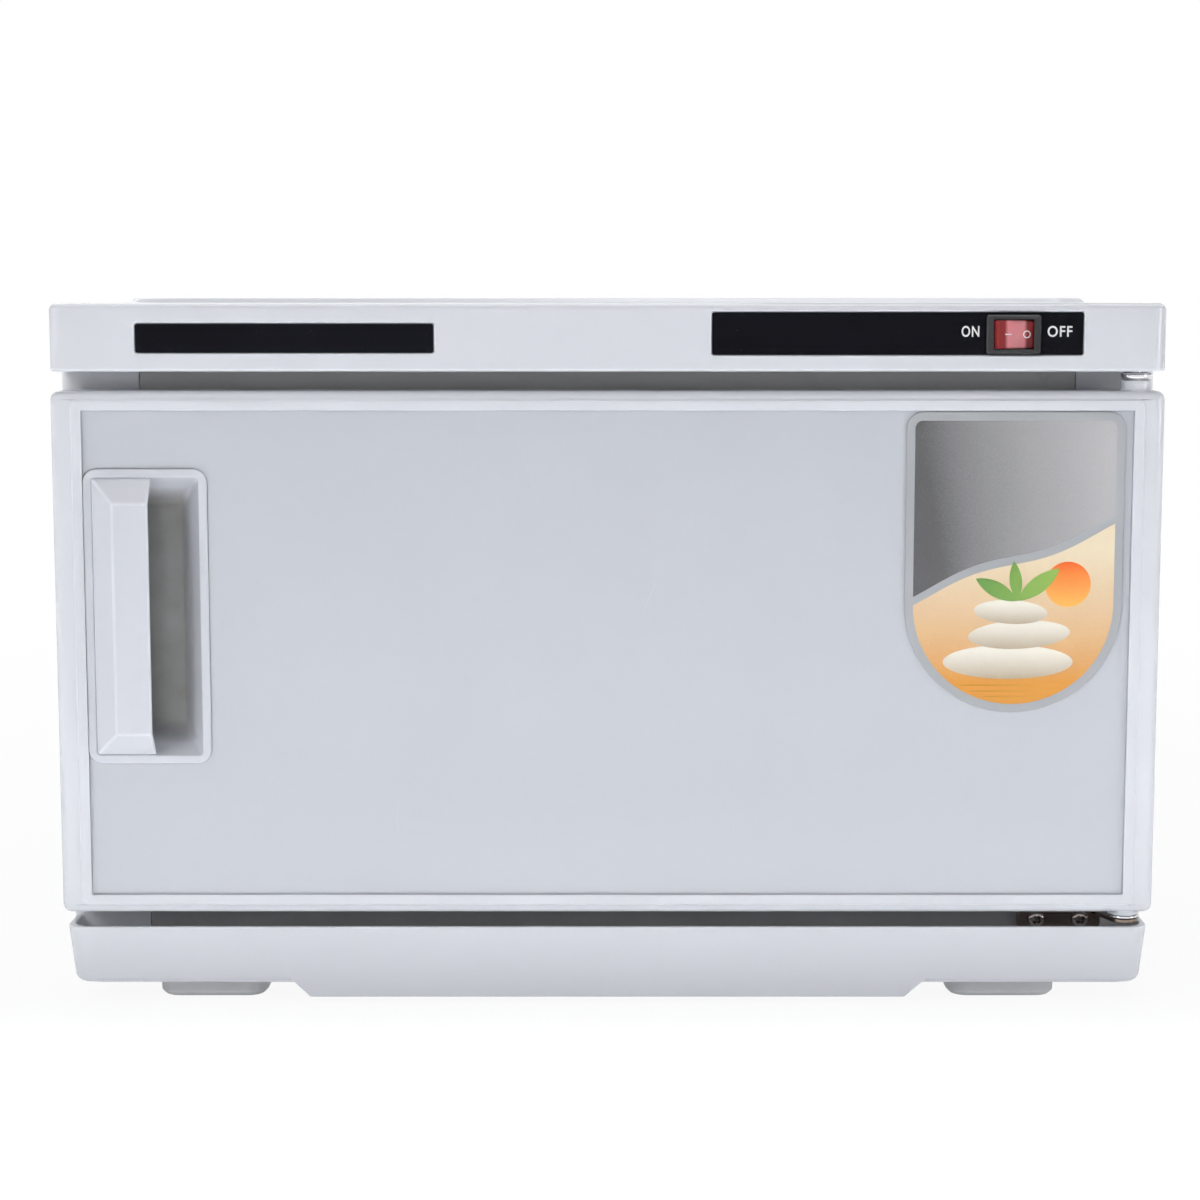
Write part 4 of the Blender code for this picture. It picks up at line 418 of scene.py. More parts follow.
def pull_plastic_shaded(name, colour, roughness):
    """The door's plastic, with painted shade that darkens it towards the pocket's floor."""
    made = moulded_plastic(name, colour, roughness)
    tree = made.node_tree
    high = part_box("door_handle")[1]
    parts = node(tree, "ShaderNodeSeparateXYZ", {"Vector": place_on_object(tree)}).outputs
    # Painted shade: darker with depth into the pocket, fading out towards its right wall, a little uneven
    depth = spread(tree, parts["Y"], 0, 0.95, high.y - POCKET_DEPTH, high.y - POCKET_WALL)
    wall = high.x - BORDER - POCKET_SLOPE
    across = spread(tree, parts["X"], 1, 0.1, wall - POCKET_SHADE_FADE, wall + POCKET_SLOPE / 2)
    uneven = times(tree, across, spread(tree, noise(tree, 30, 5), 0.9, 1.1))
    tint(tree, tree.nodes["Principled BSDF"], times(tree, depth, uneven), POCKET_SHADE_COLOUR)
    return made


def door_gloss():
    """High-gloss sheet with hairline scratches and a few specks."""
    made, tree, shader = base_finish("white_panel", (0.502, 0.52, 0.561), 0.12, rough_spread=0.02,
                                     mottle=0.003, wear_and_highlight=0.2, grain=(130, 0.00002))
    lines = cells(tree, 90.0, (1, 1, 0.06), feature="DISTANCE_TO_EDGE")["Distance"]
    scratch = spread(tree, lines, 1, 0, 0.0, 0.004)
    scratched = times(tree, scratch, spread(tree, noise(tree, 9, 3), 0, 1, 0.56, 0.6))
    speck = spread(tree, cells(tree, 38.0)["Distance"], 1, 0, 0.012, 0.02)
    specked = times(tree, speck, spread(tree, noise(tree, 21, 2), 0, 1, 0.55, 0.6))
    tint(tree, shader, times(tree, specked, 0.5), (0.30, 0.29, 0.27, 1))
    rough = plus(tree, shader.inputs["Roughness"].links[0].from_socket, times(tree, scratched, 0.2))
    tree.links.new(rough, shader.inputs["Roughness"])
    set_inputs(shader, {"Coat Weight": 0.3, "Coat Roughness": 0.05})
    return made


def powder_coat():
    """Painted sheet with the pebbled skin of powder coating."""
    made, tree, shader = base_finish("white_paint", (0.73, 0.738, 0.758), 0.38, rough_spread=0.05,
                                     mottle=0.015, wear_and_highlight=0.6)
    soft = bump(tree, noise(tree, 260, 2), 0.00004)
    tree.links.new(bump(tree, noise(tree, 1100, 3), 0.00003, under=soft), shader.inputs["Normal"])
    return made


def black_gloss():
    """Glossy black printed strip with a little dust on it."""
    made, tree, shader = base_finish("black_gloss", (0.003, 0.003, 0.0045), 0.16, rough_spread=0.05,
                                     mottle=0.2, wear_and_highlight=0.1, grain=(300, 0.00001))
    speck = spread(tree, cells(tree, 700.0)["Distance"], 1, 0, 0.06, 0.12)
    dusty = times(tree, speck, spread(tree, noise(tree, 150, 3), 0, 0.5, 0.55, 0.65))
    tint(tree, shader, dusty, (0.25, 0.25, 0.26, 1))
    set_inputs(shader, {"Specular IOR Level": 0.03})
    return made


def red_lens():
    """Clear red plastic of the rocker, with a painted highlight: a pale band near its middle."""
    made, tree, shader = base_finish("red_plastic", (0.62, 0.018, 0.025), 0.12, rough_spread=0.04,
                                     mottle=0.05, wear_and_highlight=0.1, grain=(500, 0.00001))
    low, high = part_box("switch_rocker")
    reach = (high.x - low.x) / 2
    middle = (low.x + high.x) / 2 + reach * LENS_SHIFT_SHARE
    across = node(tree, "ShaderNodeSeparateXYZ", {"Vector": place_on_object(tree)}).outputs["X"]
    off_centre = node(tree, "ShaderNodeMath", {0: across, 1: middle}, operation="SUBTRACT").outputs[0]
    away = node(tree, "ShaderNodeMath", {0: off_centre}, operation="ABSOLUTE").outputs[0]
    pale = spread(tree, away, 1, 0, reach * LENS_BAND_SHARE, reach * LENS_FADE_SHARE)
    tint(tree, shader, 0.72, LENS_DEEP_COLOUR)
    # Painted highlight: a pale band near the rocker's middle
    tint(tree, shader, times(tree, pale, 0.9), LENS_HIGHLIGHT_COLOUR)
    set_inputs(shader, {
        "Transmission Weight": 0.35,
        "Subsurface Weight": 0.3,
        "Subsurface Scale": 0.002,
        "Specular IOR Level": 0.2,
        "Coat Weight": 0.1,
        "Coat Roughness": 0.06,
    })
    return made


def plated(name, colour, roughness, metallic=1.0):
    """Bright plating with smudges and very fine lines."""
    made, tree, shader = base_finish(name, colour, roughness, rough_spread=0.05, mottle=0.05, wear_and_highlight=0.3)
    lines = noise(tree, 900, 2, (1, 1, 0.05))
    tree.links.new(bump(tree, lines, 0.000004), shader.inputs["Normal"])
    set_inputs(shader, {"Metallic": metallic})
    return made


def rolled_metal(name, colour, roughness, stretch):
    """Rolled sheet metal, its fine lines drawn out along the rolling direction."""
    made, tree, shader = new_material(name)
    tone_wear_and_highlight(tree, shader, colour, mottle=0.05, wear_and_highlight=0.4)
    lines = noise(tree, 1500, 3, stretch)
    rough = plus(tree, spread(tree, lines, -0.09, 0.09), roughness)
    tree.links.new(rough, shader.inputs["Roughness"])
    tree.links.new(bump(tree, lines, 0.000012), shader.inputs["Normal"])
    set_inputs(shader, {"Metallic": 1.0})
    return made


def galvanised():
    """Galvanised sheet with its crystal pattern."""
    made, tree, shader = new_material("zinc")
    flake = node(tree, "ShaderNodeSeparateColor", {"Color": cells(tree, 140.0)["Color"]}).outputs[0]
    tone = mixed(tree, flake, (0.46, 0.47, 0.49, 1), (0.62, 0.63, 0.64, 1))
    tree.links.new(tone, shader.inputs["Base Color"])
    tree.links.new(spread(tree, flake, 0.28, 0.5, 0, 1), shader.inputs["Roughness"])
    tree.links.new(bump(tree, noise(tree, 600, 3), 0.00001), shader.inputs["Normal"])
    set_inputs(shader, {"Metallic": 1.0})
    return made


def soft_rubber(name, colour, roughness=0.6):
    """Matte rubber with dust in its grain."""
    made, tree, shader = base_finish(name, colour, roughness, rough_spread=0.08, mottle=0.06, wear_and_highlight=0.5,
                                     grain=(1600, 0.00004))
    tint(tree, shader, spread(tree, noise(tree, 70, 8), 0, 0.25, 0.5, 0.75), (0.62, 0.61, 0.59, 1))
    set_inputs(shader, {"Specular IOR Level": 0.3})
    return made


def open_foam():
    """Porous foam."""
    made, tree, shader = base_finish("foam", (0.66, 0.60, 0.42), 0.9, rough_spread=0.05, mottle=0.08,
                                     wear_and_highlight=0.1)
    pores = cells(tree, 900.0)["Distance"]
    tree.links.new(bump(tree, pores, 0.0006), shader.inputs["Normal"])
    return made


def woven_silicone():
    """Silicone heating mat with its glass cloth showing through."""
    made, tree, shader = base_finish("heater_silicone", (0.42, 0.09, 0.05), 0.55, rough_spread=0.06,
                                     mottle=0.08, wear_and_highlight=0.1)
    threads = [
        node(tree, "ShaderNodeTexWave", {"Vector": place_on_object(tree), "Scale": 260.0},
             bands_direction=direction).outputs["Fac"]
        for direction in ("X", "Y")
    ]
    tree.links.new(bump(tree, times(tree, *threads), 0.0002), shader.inputs["Normal"])
    return made


def graded_print(name, colours, low, high, roughness=0.22):
    """Glossy print, seen from the front, that fades from a colour at one place to one at another."""
    made, tree, shader = new_material(name)
    way = Vector((high[0] - low[0], 0, high[1] - low[1]))
    start = Vector((low[0], 0, low[1])).dot(way)
    along = node(tree, "ShaderNodeVectorMath", {0: place_on_object(tree), 1: way},
                 operation="DOT_PRODUCT").outputs["Value"]
    fade = spread(tree, along, 0, 1, start, start + way.dot(way))
    share = plus(tree, fade, spread(tree, noise(tree, 2200, 2), -0.04, 0.04))
    tone = mixed(tree, share, *(colour + (1,) for colour in colours))
    tree.links.new(tone, shader.inputs["Base Color"])
    rough = spread(tree, noise(tree, 60, 6), roughness - 0.01, roughness + 0.015)
    tree.links.new(rough, shader.inputs["Roughness"])
    tree.links.new(bump(tree, noise(tree, 500, 2), 0.00001), shader.inputs["Normal"])
    set_inputs(shader, {"Specular IOR Level": 0.25})
    return made


def make_finishes():
    """Make one material for each of the record's slots, darker copies that carry painted shade, and the extra ones
    of the label and marks.
    """
    return {
        "white_plastic": moulded_plastic("white_plastic", (0.69, 0.705, 0.75), 0.2),
        # The pull's plastic is the white plastic made darker as painted shade, with more painted shade in its
        # pocket
        "pull_plastic_shaded": pull_plastic_shaded("pull_plastic_shaded", (0.60, 0.615, 0.66), 0.2),
        # The front frame's white plastic made grey: painted shade of the gaps round the door
        "frame_plastic_shaded": moulded_plastic("frame_plastic_shaded", (0.45, 0.444, 0.434), 0.3),
        "white_paint": powder_coat(),
        "white_panel": door_gloss(),
        "grey_rubber": soft_rubber("grey_rubber", (0.74, 0.74, 0.755)),
        "grey_gasket": soft_rubber("grey_gasket", (0.46, 0.47, 0.49), 0.5),
        "black_gloss": black_gloss(),
        "black_plastic": moulded_plastic("black_plastic", (0.008, 0.008, 0.009), 0.32),
        "red_plastic": red_lens(),
        "chrome": plated("chrome", (0.74, 0.74, 0.76), 0.09),
        # Darker, browner copies of the plating for the lower hinge: painted shade of the gap under the door
        "lower_screw_chrome_shaded": plated("lower_screw_chrome_shaded", (0.34, 0.30, 0.275), 0.16),
        "lower_bracket_plating_shaded": plated("lower_bracket_plating_shaded", (0.21, 0.165, 0.135), 0.24),
        "aluminium": rolled_metal("aluminium", (0.60, 0.61, 0.62), 0.34, (1, 0.03, 1)),
        "zinc": galvanised(),
        "foam": open_foam(),
        "heater_silicone": woven_silicone(),
        "nylon": moulded_plastic("nylon", (0.72, 0.71, 0.66), 0.42),
        "wire_blue": moulded_plastic("wire_blue", (0.05, 0.11, 0.36), 0.4),
        "label_print": plated("label_print", (0.37, 0.382, 0.402), 0.34, 0.45),
        "mark_white": moulded_plastic("mark_white", (0.80, 0.80, 0.80), 0.4),
    }


# Making shapes


def arc(centre, radius, start, end, steps):
    """Return the points of an arc, its angles in degrees."""
    points = []
    for step in range(steps + 1):
        angle = math.radians(start + (end - start) * step / steps)
        points.append((centre[0] + radius * math.cos(angle), centre[1] + radius * math.sin(angle)))
    return points


def rounded_rectangle(x_range, y_range, radius, steps=CORNER_STEPS):
    """Return a rectangle's outline with its four corners rounded."""
    (left, right), (low, high) = x_range, y_range
    centres = (
        (right - radius, high - radius),
        (left + radius, high - radius),
        (left + radius, low + radius),
        (right - radius, low + radius),
    )
    points = []
    for quarter, centre in enumerate(centres):
        points += arc(centre, radius, quarter * 90, quarter * 90 + 90, steps)
    return points


def facing(outline, depth):
    """Stand an outline that is seen from the front at a depth."""
    return [(across, depth, up) for across, up in outline]


def grown(span, amount):
    """Widen a range by the same amount at both ends."""
    return (span[0] - amount, span[1] + amount)


def mesh_piece(name, shape):
    """Turn a bmesh into a named object with its faces pointing out."""
    bmesh.ops.recalc_face_normals(shape, faces=shape.faces)
    mesh = bpy.data.meshes.new(name)
    shape.to_mesh(mesh)
    shape.free()
    piece = bpy.data.objects.new(name, mesh)
    bpy.context.scene.collection.objects.link(piece)
    return piece


def loft(name, loops, closed=False):
    """Skin a stack of loops; closed joins the last to the first, and otherwise both ends are capped."""
    shape = bmesh.new()
    rings = [[shape.verts.new(point) for point in loop] for loop in loops]
    count = len(rings[0])
    pairs = list(zip(rings, rings[1:]))
    if closed:
        pairs.append((rings[-1], rings[0]))
    for lower, upper in pairs:
        for here in range(count):
            after = (here + 1) % count
            shape.faces.new((lower[here], lower[after], upper[after], upper[here]))
    if not closed:
        shape.faces.new(rings[0])
        shape.faces.new(rings[-1])
    return mesh_piece(name, shape)


def turned_loops(profile, centre=(0, 0)):
    """Turn a profile of radii and heights about an upright axis into a stack of loops."""
    loops = []
    for radius, height in profile:
        circle = arc(centre, radius, 0, 360, ROUND_STEPS)[:-1]
        loops.append([(x, y, height) for x, y in circle])
    return loops


def smooth(piece):
    """Shade a piece smooth, with its flat faces kept flat."""
    piece.data.shade_smooth()
    piece.data.set_sharp_from_angle(angle=SMOOTH_ANGLE)
    keep_flat = piece.modifiers.new("keep_flat", "WEIGHTED_NORMAL")
    keep_flat.keep_sharp = True
    return piece


def cut(piece, tool):
    """Cut a tool out of a piece, and remove the tool."""
    step = piece.modifiers.new("cut", "BOOLEAN")
    step.operation = "DIFFERENCE"
    step.solver = "EXACT"
    step.object = tool
    graph = bpy.context.evaluated_depsgraph_get()
    result = bpy.data.meshes.new_from_object(piece.evaluated_get(graph))
    piece.modifiers.clear()
    piece.data = result
    bpy.data.objects.remove(tool, do_unlink=True)


def dress(piece, finish, body):
    """Give a piece the material of a finish and attach it to its body."""
    piece.data.materials.clear()
    piece.data.materials.append(finishes[finish])
    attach(piece, body)


# Rounded copies of CAD shapes


def mark_edges(shape, faces):
    """Mark the points that lie inside rounded edges, for the rubbing and painted highlight along them."""
    layer = shape.verts.layers.float.new("edge")
    rounded = set(faces)
    for vert in shape.verts:
        inside = all(face in rounded for face in vert.link_faces)
        vert[layer] = 1.0 if inside else 0.0


def round_edges(shape, radius, steps=EDGE_STEPS):
    """Round the sharp edges of a shape, and mark them."""
    bmesh.ops.remove_doubles(shape, verts=shape.verts, dist=WELD)
    edges = [
        edge for edge in shape.edges
        if len(edge.link_faces) == 2 and edge.calc_face_angle() > SHARP_ANGLE
    ]
    made = bmesh.ops.bevel(shape, geom=edges, offset=radius, segments=steps, profile=0.5,
                           affect="EDGES", clamp_overlap=False)
    mark_edges(shape, made["faces"])


def rounded_copy(name, radius, finish=None):
    """Stand for a CAD node with the same shape, its sharp edges rounded."""
    shape = bmesh.new()
    shape.from_mesh(frame["nodes"][name].data)
    round_edges(shape, radius)
    piece = smooth(mesh_piece(f"{name}_finished", shape))
    dress(piece, finish or slot_of[name], body_of[name])
    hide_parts(name)
    return piece


def make_rounded_copies():
    """Make every rounded copy."""
    for name, radius in ROUNDED.items():
        rounded_copy(name, radius, OTHER_FINISH.get(name))


def make_panel():
    """Face sheet of the door, set close into its ledge."""
    panel = rounded_copy("door_panel", PANEL_RADIUS)
    low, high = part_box("door_panel")
    middle, size = (low + high) / 2, high - low
    for vert in panel.data.vertices:
        for axis in (0, 2):
            if abs(vert.co[axis] - middle[axis]) > size[axis] * PANEL_RIM_SHARE:
                vert.co[axis] += math.copysign(PANEL_GROWTH, vert.co[axis] - middle[axis])


# Hinge washers


def make_washer(name, pin_name):
    """Plated ring with a rounded rim, round a hinge pin."""
    low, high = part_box(name)
    pin_low, pin_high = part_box(pin_name)
    middle = (low + high) / 2
    centre = (middle.x, middle.y)
    radius = (high.x - low.x) / 2
    half = (high.z - low.z) / 2
    bulge = half * WASHER_BULGE_SHARE
    bore = (pin_high.x - pin_low.x) / 2 + WASHER_CLEARANCE
    profile = [(bore, low.z), (bore, high.z)]
    for step in range(WASHER_STEPS + 1):
        angle = math.radians(90 - 180 * step / WASHER_STEPS)
        profile.append((radius - bulge + bulge * math.cos(angle), middle.z + half * math.sin(angle)))
    washer = loft(f"{name}_finished", turned_loops(profile, centre), closed=True)
    smooth(washer)
    dress(washer, "chrome", body_of[name])
    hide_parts(name)


# Door pull


def basin_profile():
    """Return the pocket's wall as shares of its way in and down: a slope that rounds into the floor."""
    points = []
    for step in range(FILLET_LOOPS + 1):
        share = step / FILLET_LOOPS
        before = (1 - POCKET_FILLET_SHARE) * (1 - share) ** 2 + 2 * share * (1 - share)
        inward = before + (1 + POCKET_FILLET_SHARE) * share ** 2
        points.append((inward, before + share ** 2))
    return points


def make_bezel(low, high, front, back):
    """Rounded frame of the pull, with the finger pocket behind it."""
    outer_x, outer_z = (low.x, high.x + BEZEL_CLOSE_FIT), grown((low.z, high.z), BEZEL_CLOSE_FIT)
    body_x, body_z = grown(outer_x, -BODY_INSET), grown(outer_z, -BODY_INSET)
    open_x, open_z = grown(outer_x, -BORDER), grown(outer_z, -BORDER)
    floor = high.y - POCKET_WALL

    def ring(x_range, z_range, radius, depth):
        return facing(rounded_rectangle(x_range, z_range, radius), depth)

    loops = [
        ring(body_x, body_z, OPENING_RADIUS, high.y),
        ring(body_x, body_z, OPENING_RADIUS, back),
        ring(outer_x, outer_z, BEZEL_RADIUS, back),
    ]
    for step in range(EDGE_LOOPS + 1):
        angle = math.pi / 2 * step / EDGE_LOOPS
        inset = BEZEL_EDGE * (1 - math.cos(angle))
        depth = front + BEZEL_EDGE * (1 - math.sin(angle))
        loops.append(ring(grown(outer_x, -inset), grown(outer_z, -inset), BEZEL_RADIUS - inset, depth))
    for step in range(EDGE_LOOPS + 1):
        angle = math.pi / 2 * step / EDGE_LOOPS
        outset = BEZEL_EDGE * (1 - math.sin(angle))
        depth = front + BEZEL_EDGE * (1 - math.cos(angle))
        loops.append(ring(grown(open_x, outset), grown(open_z, outset), OPENING_RADIUS + outset, depth))
    mouth = front + BEZEL_EDGE
    for inward, down in basin_profile():
        pocket_x = (open_x[0] + POCKET_WALL, open_x[1] - POCKET_SLOPE * inward)
        pocket_z = grown(open_z, -POCKET_END_SLOPE * inward)
        radius = OPENING_RADIUS + BEZEL_EDGE * inward
        loops.append(ring(pocket_x, pocket_z, radius, mouth + (floor - mouth) * down))
    bezel = smooth(loft("door_handle_bezel", loops))
    dress(bezel, "pull_plastic_shaded", "door")
    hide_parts("door_handle")


def make_grip(low, high, front):
    """Raised grip: a flat front, sloping facets at its left, top and bottom, and a hollow behind."""
    left = low.x + BORDER - GRIP_OVERLAP
    right = low.x + BORDER + GRIP_WIDTH
    bottom, top = low.z + BORDER - GRIP_OVERLAP, high.z - BORDER + GRIP_OVERLAP
    crest = low.y

    def frame_loop(inset, edge, depth):
        across = (left + inset, edge)
        up = (bottom + inset, top - inset)
        corners = ((across[0], up[0]), (across[1], up[0]), (across[1], up[1]), (across[0], up[1]))
        return facing(corners, depth)

    grip = loft("door_handle_grip", [
        frame_loop(0, right, front + GRIP_ROOT),
        frame_loop(0, right, front),
        frame_loop(GRIP_FACET, right, crest),
    ])
    inner = GRIP_FACET + POCKET_WALL / 2
    hollow = loft("hollow", [
        frame_loop(POCKET_WALL, right + GRIP_ROOT, front + 2 * GRIP_ROOT),
        frame_loop(POCKET_WALL, right + GRIP_ROOT, front + POCKET_WALL),
        frame_loop(inner, right + GRIP_ROOT, crest + GRIP_THICKNESS),
    ])
    cut(grip, hollow)
    shape = bmesh.new()
    shape.from_mesh(grip.data)
    round_edges(shape, GRIP_EDGE, EDGE_LOOPS)
    shape.to_mesh(grip.data)
    shape.free()
    smooth(grip)
    dress(grip, "pull_plastic_shaded", "door")


def make_handle():
    """Bezel with its pocket, and the grip."""
    low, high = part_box("door_handle")
    panel_low, panel_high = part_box("door_panel")
    front = panel_low.y - BEZEL_PROUD
    make_bezel(low, high, front, panel_high.y)
    make_grip(low, high, front)


# Screws


def screw_shape(name, radius, length):
    """Make a cross-head screw that stands on its head's top at the origin and points down."""
    shank = radius * SHANK_SHARE
    profile = [(shank * TIP_SHARE, -length), (shank, shank - length), (shank, -HEAD_HEIGHT),
               (radius, -HEAD_HEIGHT)]
    crown = HEAD_HEIGHT - HEAD_RIM
    for step in range(SCREW_CROWN_STEPS + 1):
        angle = math.radians(90 * step / (SCREW_CROWN_STEPS + 1))
        profile.append((radius * math.cos(angle) ** CROWN_POWER, crown * (math.sin(angle) - 1)))
    screw = loft(name, turned_loops(profile))
    long, wide = radius * CROSS_LENGTH_SHARE, radius * CROSS_WIDTH_SHARE
    for across, along in ((long, wide), (wide, long)):
        top = ((-across, -along), (across, -along), (across, along), (-across, along))
        levels = ((CROSS_FLOOR_SHARE, -CROSS_DEPTH), (1, 0), (CROSS_MOUTH_SHARE, CROSS_DEPTH))
        loops = [[(x * scale, y * scale, height) for x, y in top] for scale, height in levels]
        cut(screw, loft("cross", loops))
    return screw


def make_screw(name, direction, turn, finish="chrome"):
    """Stand for a CAD screw whose head points along a direction, its cross turned by an angle."""
    low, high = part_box(name)
    size = high - low
    axis = max(range(3), key=lambda number: abs(direction[number]))
    cross = [size[number] for number in range(3) if number != axis]
    place = (low + high) / 2
    place[axis] = high[axis] if direction[axis] > 0 else low[axis]
    screw = screw_shape(f"{name}_finished", max(cross) / 2, size[axis])
    turned = Vector(direction).to_track_quat("Z", "Y").to_matrix().to_4x4()
    spin = Matrix.Rotation(math.radians(turn), 4, "Z")
    screw.data.transform(Matrix.Translation(place) @ turned @ spin)
    smooth(screw)
    dress(screw, finish, body_of[name])
    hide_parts(name)


def make_screws():
    """Make the screws of the feet, the rear and both hinges."""
    foot_screws = sorted(name for name in slot_of if "foot_screw" in name)
    for name, turn in zip(foot_screws, FOOT_SCREW_TURNS):
        make_screw(name, (0, 0, -1), turn)
    for number, turn in enumerate(REAR_SCREW_TURNS, start=1):
        make_screw(f"rear_screw_{number}", (0, 1, 0), turn)
    for number, (bottom_turn, top_turn) in enumerate(HINGE_SCREW_TURNS, start=1):
        # The lower hinge screws take a darker plating: painted shade of the gap under the door
        make_screw(f"hinge_screw_bottom_{number}", (0, -1, 0), bottom_turn, "lower_screw_chrome_shaded")
        make_screw(f"hinge_screw_top_{number}", (0, 0, 1), top_turn)


# Wire rack


def add_wire(curve, points, closed=False):
    """Add a bar along points to a curve."""
    spline = curve.splines.new("POLY")
    spline.points.add(len(points) - 1)
    for spot, point in zip(spline.points, points):
        spot.co = (*point, 1)
    spline.use_cyclic_u = closed


def wire_curve(name, radius):
    """Make an empty curve with a round section."""
    curve = bpy.data.curves.new(name, "CURVE")
    curve.dimensions = "3D"
    curve.bevel_depth = radius
    curve.bevel_resolution = WIRE_STEPS
    curve.use_fill_caps = True
    return curve


def curve_piece(curve):
    """Turn a finished curve or text into a mesh object of its name."""
    bar = bpy.data.objects.new(curve.name, curve)
    bpy.context.scene.collection.objects.link(bar)
    graph = bpy.context.evaluated_depsgraph_get()
    mesh = bpy.data.meshes.new_from_object(bar.evaluated_get(graph))
    bpy.data.objects.remove(bar, do_unlink=True)
    piece = bpy.data.objects.new(curve.name, mesh)
    bpy.context.scene.collection.objects.link(piece)
    return piece


def make_wire_rack():
    """Wire grille: a rim, cross wires welded to it and a brace across them at their height."""
    low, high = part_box("wire_rack")
    left, right = low.x + RIM_RADIUS, high.x - RIM_RADIUS
    front, rear = low.y + RIM_RADIUS, high.y - RIM_RADIUS
    height = (low.z + high.z) / 2
    rim = wire_curve("wire_rack_rim", RIM_RADIUS)
    outline = rounded_rectangle((left, right), (front, rear), RACK_CORNER)
    add_wire(rim, [(x, y, height) for x, y in outline], closed=True)
    rim_piece = curve_piece(rim)
    wires = wire_curve("wire_rack_wires", CROSS_WIRE_RADIUS)
    for number in range(1, RACK_WIRES + 1):
        across = left + (right - left) * number / (RACK_WIRES + 1)
        add_wire(wires, [(across, front, height), (across, rear, height)])
    middle = (front + rear) / 2
    add_wire(wires, [(left, middle, height), (right, middle, height)])
    wire_piece = curve_piece(wires)
    for piece in (rim_piece, wire_piece):
        smooth(piece)
        dress(piece, "chrome", "cabinet")
    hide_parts("wire_rack")


# Door seal


def make_gasket():
    """Soft magnetic seal with a foot, a bulb and a groove along its crown."""
    low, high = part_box("door_gasket")
    depth = high.y - low.y
    loops = []
    for across, up in GASKET_SHARES:
        inset = GASKET_WIDTH * across
        outline = rounded_rectangle(grown((low.x, high.x), -inset), grown((low.z, high.z), -inset),
                                    GASKET_CORNER - inset * GASKET_CORNER_SHARE)
        loops.append(facing(outline, low.y + depth * up))
    gasket = loft("door_gasket_finished", loops, closed=True)
    gasket.data.shade_smooth()
    dress(gasket, "grey_gasket", "door")
    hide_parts("door_gasket")


# Label on the door


def label_outline(inset):
    """Return the label's outline, drawn in by an amount: square at the top and round at the bottom."""
    low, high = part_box("door_label")
    left, right, top = low.x + inset, high.x - inset, high.z - inset
    radius = (right - left) / 2
    centre = ((left + right) / 2, low.z + inset + radius)
    corner = max(LABEL_CORNER - inset, LABEL_LEAST_CORNER)
    outline = arc(centre, radius, 180, 360, ROUND_STEPS)
    outline += arc((right - corner, top - corner), corner, 0, 90, CORNER_STEPS)
    outline += arc((left + corner, top - corner), corner, 90, 180, CORNER_STEPS)
    return outline


def band_height(across, offset):
    """Return the height of the wavy band's middle line at a place across the label."""
    low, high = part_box("door_label")
    share = (across - low.x) / (high.x - low.x)
    bottom = low.z + (high.z - low.z) * BAND_LEFT_SHARE
    top = low.z + (high.z - low.z) * BAND_RIGHT_SHARE
    eased = share * share * (3 - 2 * share)
    return bottom + (top - bottom) * eased + BAND_WAVE * math.sin(2 * math.pi * share) + offset


def clip_side(outline, offset, keep_upper):
    """Keep the part of an outline above or below the band's edge."""
    def side(point):
        return (point[1] - band_height(point[0], offset)) * (1 if keep_upper else -1)

    kept, crossings = [], []
    count = len(outline)
    for here in range(count):
        one, two = outline[here], outline[(here + 1) % count]
        if side(one) >= 0:
            kept.append(one)
        if (side(one) >= 0) != (side(two) >= 0):
            share = side(one) / (side(one) - side(two))
            point = (one[0] + (two[0] - one[0]) * share, one[1] + (two[1] - one[1]) * share)
            kept.append(point)
            crossings.append(len(kept) - 1)
    first, second = crossings
    start, end = kept[first], kept[second]
    leaves_first = side(outline[0]) >= 0
    if leaves_first:
        run_from, run_to, insert_at = start, end, second
    else:
        run_from, run_to, insert_at = end, start, len(kept)
    run = []
    for step in range(1, ROUND_STEPS):
        across = run_from[0] + (run_to[0] - run_from[0]) * step / ROUND_STEPS
        run.append((across, band_height(across, offset)))
    return kept[:insert_at] + run + kept[insert_at:]


def printed(name, outline, depth, finish):
    """Lay a thin printed shape on the label."""
    piece = loft(name, [facing(outline, depth), facing(outline, depth - PRINT_LIFT)])
    dress(piece, finish, "door")


def ellipse(centre, width, height, turn=0.0):
    """Return an ellipse's outline, turned by an angle in degrees."""
    angle = math.radians(turn)
    points = []
    for step in range(ROUND_STEPS):
        way = 2 * math.pi * step / ROUND_STEPS
        across, up = width / 2 * math.cos(way), height / 2 * math.sin(way)
        points.append((centre[0] + across * math.cos(angle) - up * math.sin(angle),
                       centre[1] + across * math.sin(angle) + up * math.cos(angle)))
    return points


def leaf(root, length, width, turn):
    """Return a pointed leaf's outline that grows from its root along an angle in degrees."""
    angle = math.radians(turn)
    along = Vector((math.cos(angle), math.sin(angle)))
    aside = Vector((-along.y, along.x))
    points = []
    for side in (1, -1):
        for step in range(LEAF_STEPS):
            share = step / LEAF_STEPS
            swell = side * width / 2 * math.sin(math.pi * share) ** LEAF_POWER
            reach = length * (share if side > 0 else 1 - share)
            points.append(tuple(Vector(root) + along * reach + aside * swell))
    return points


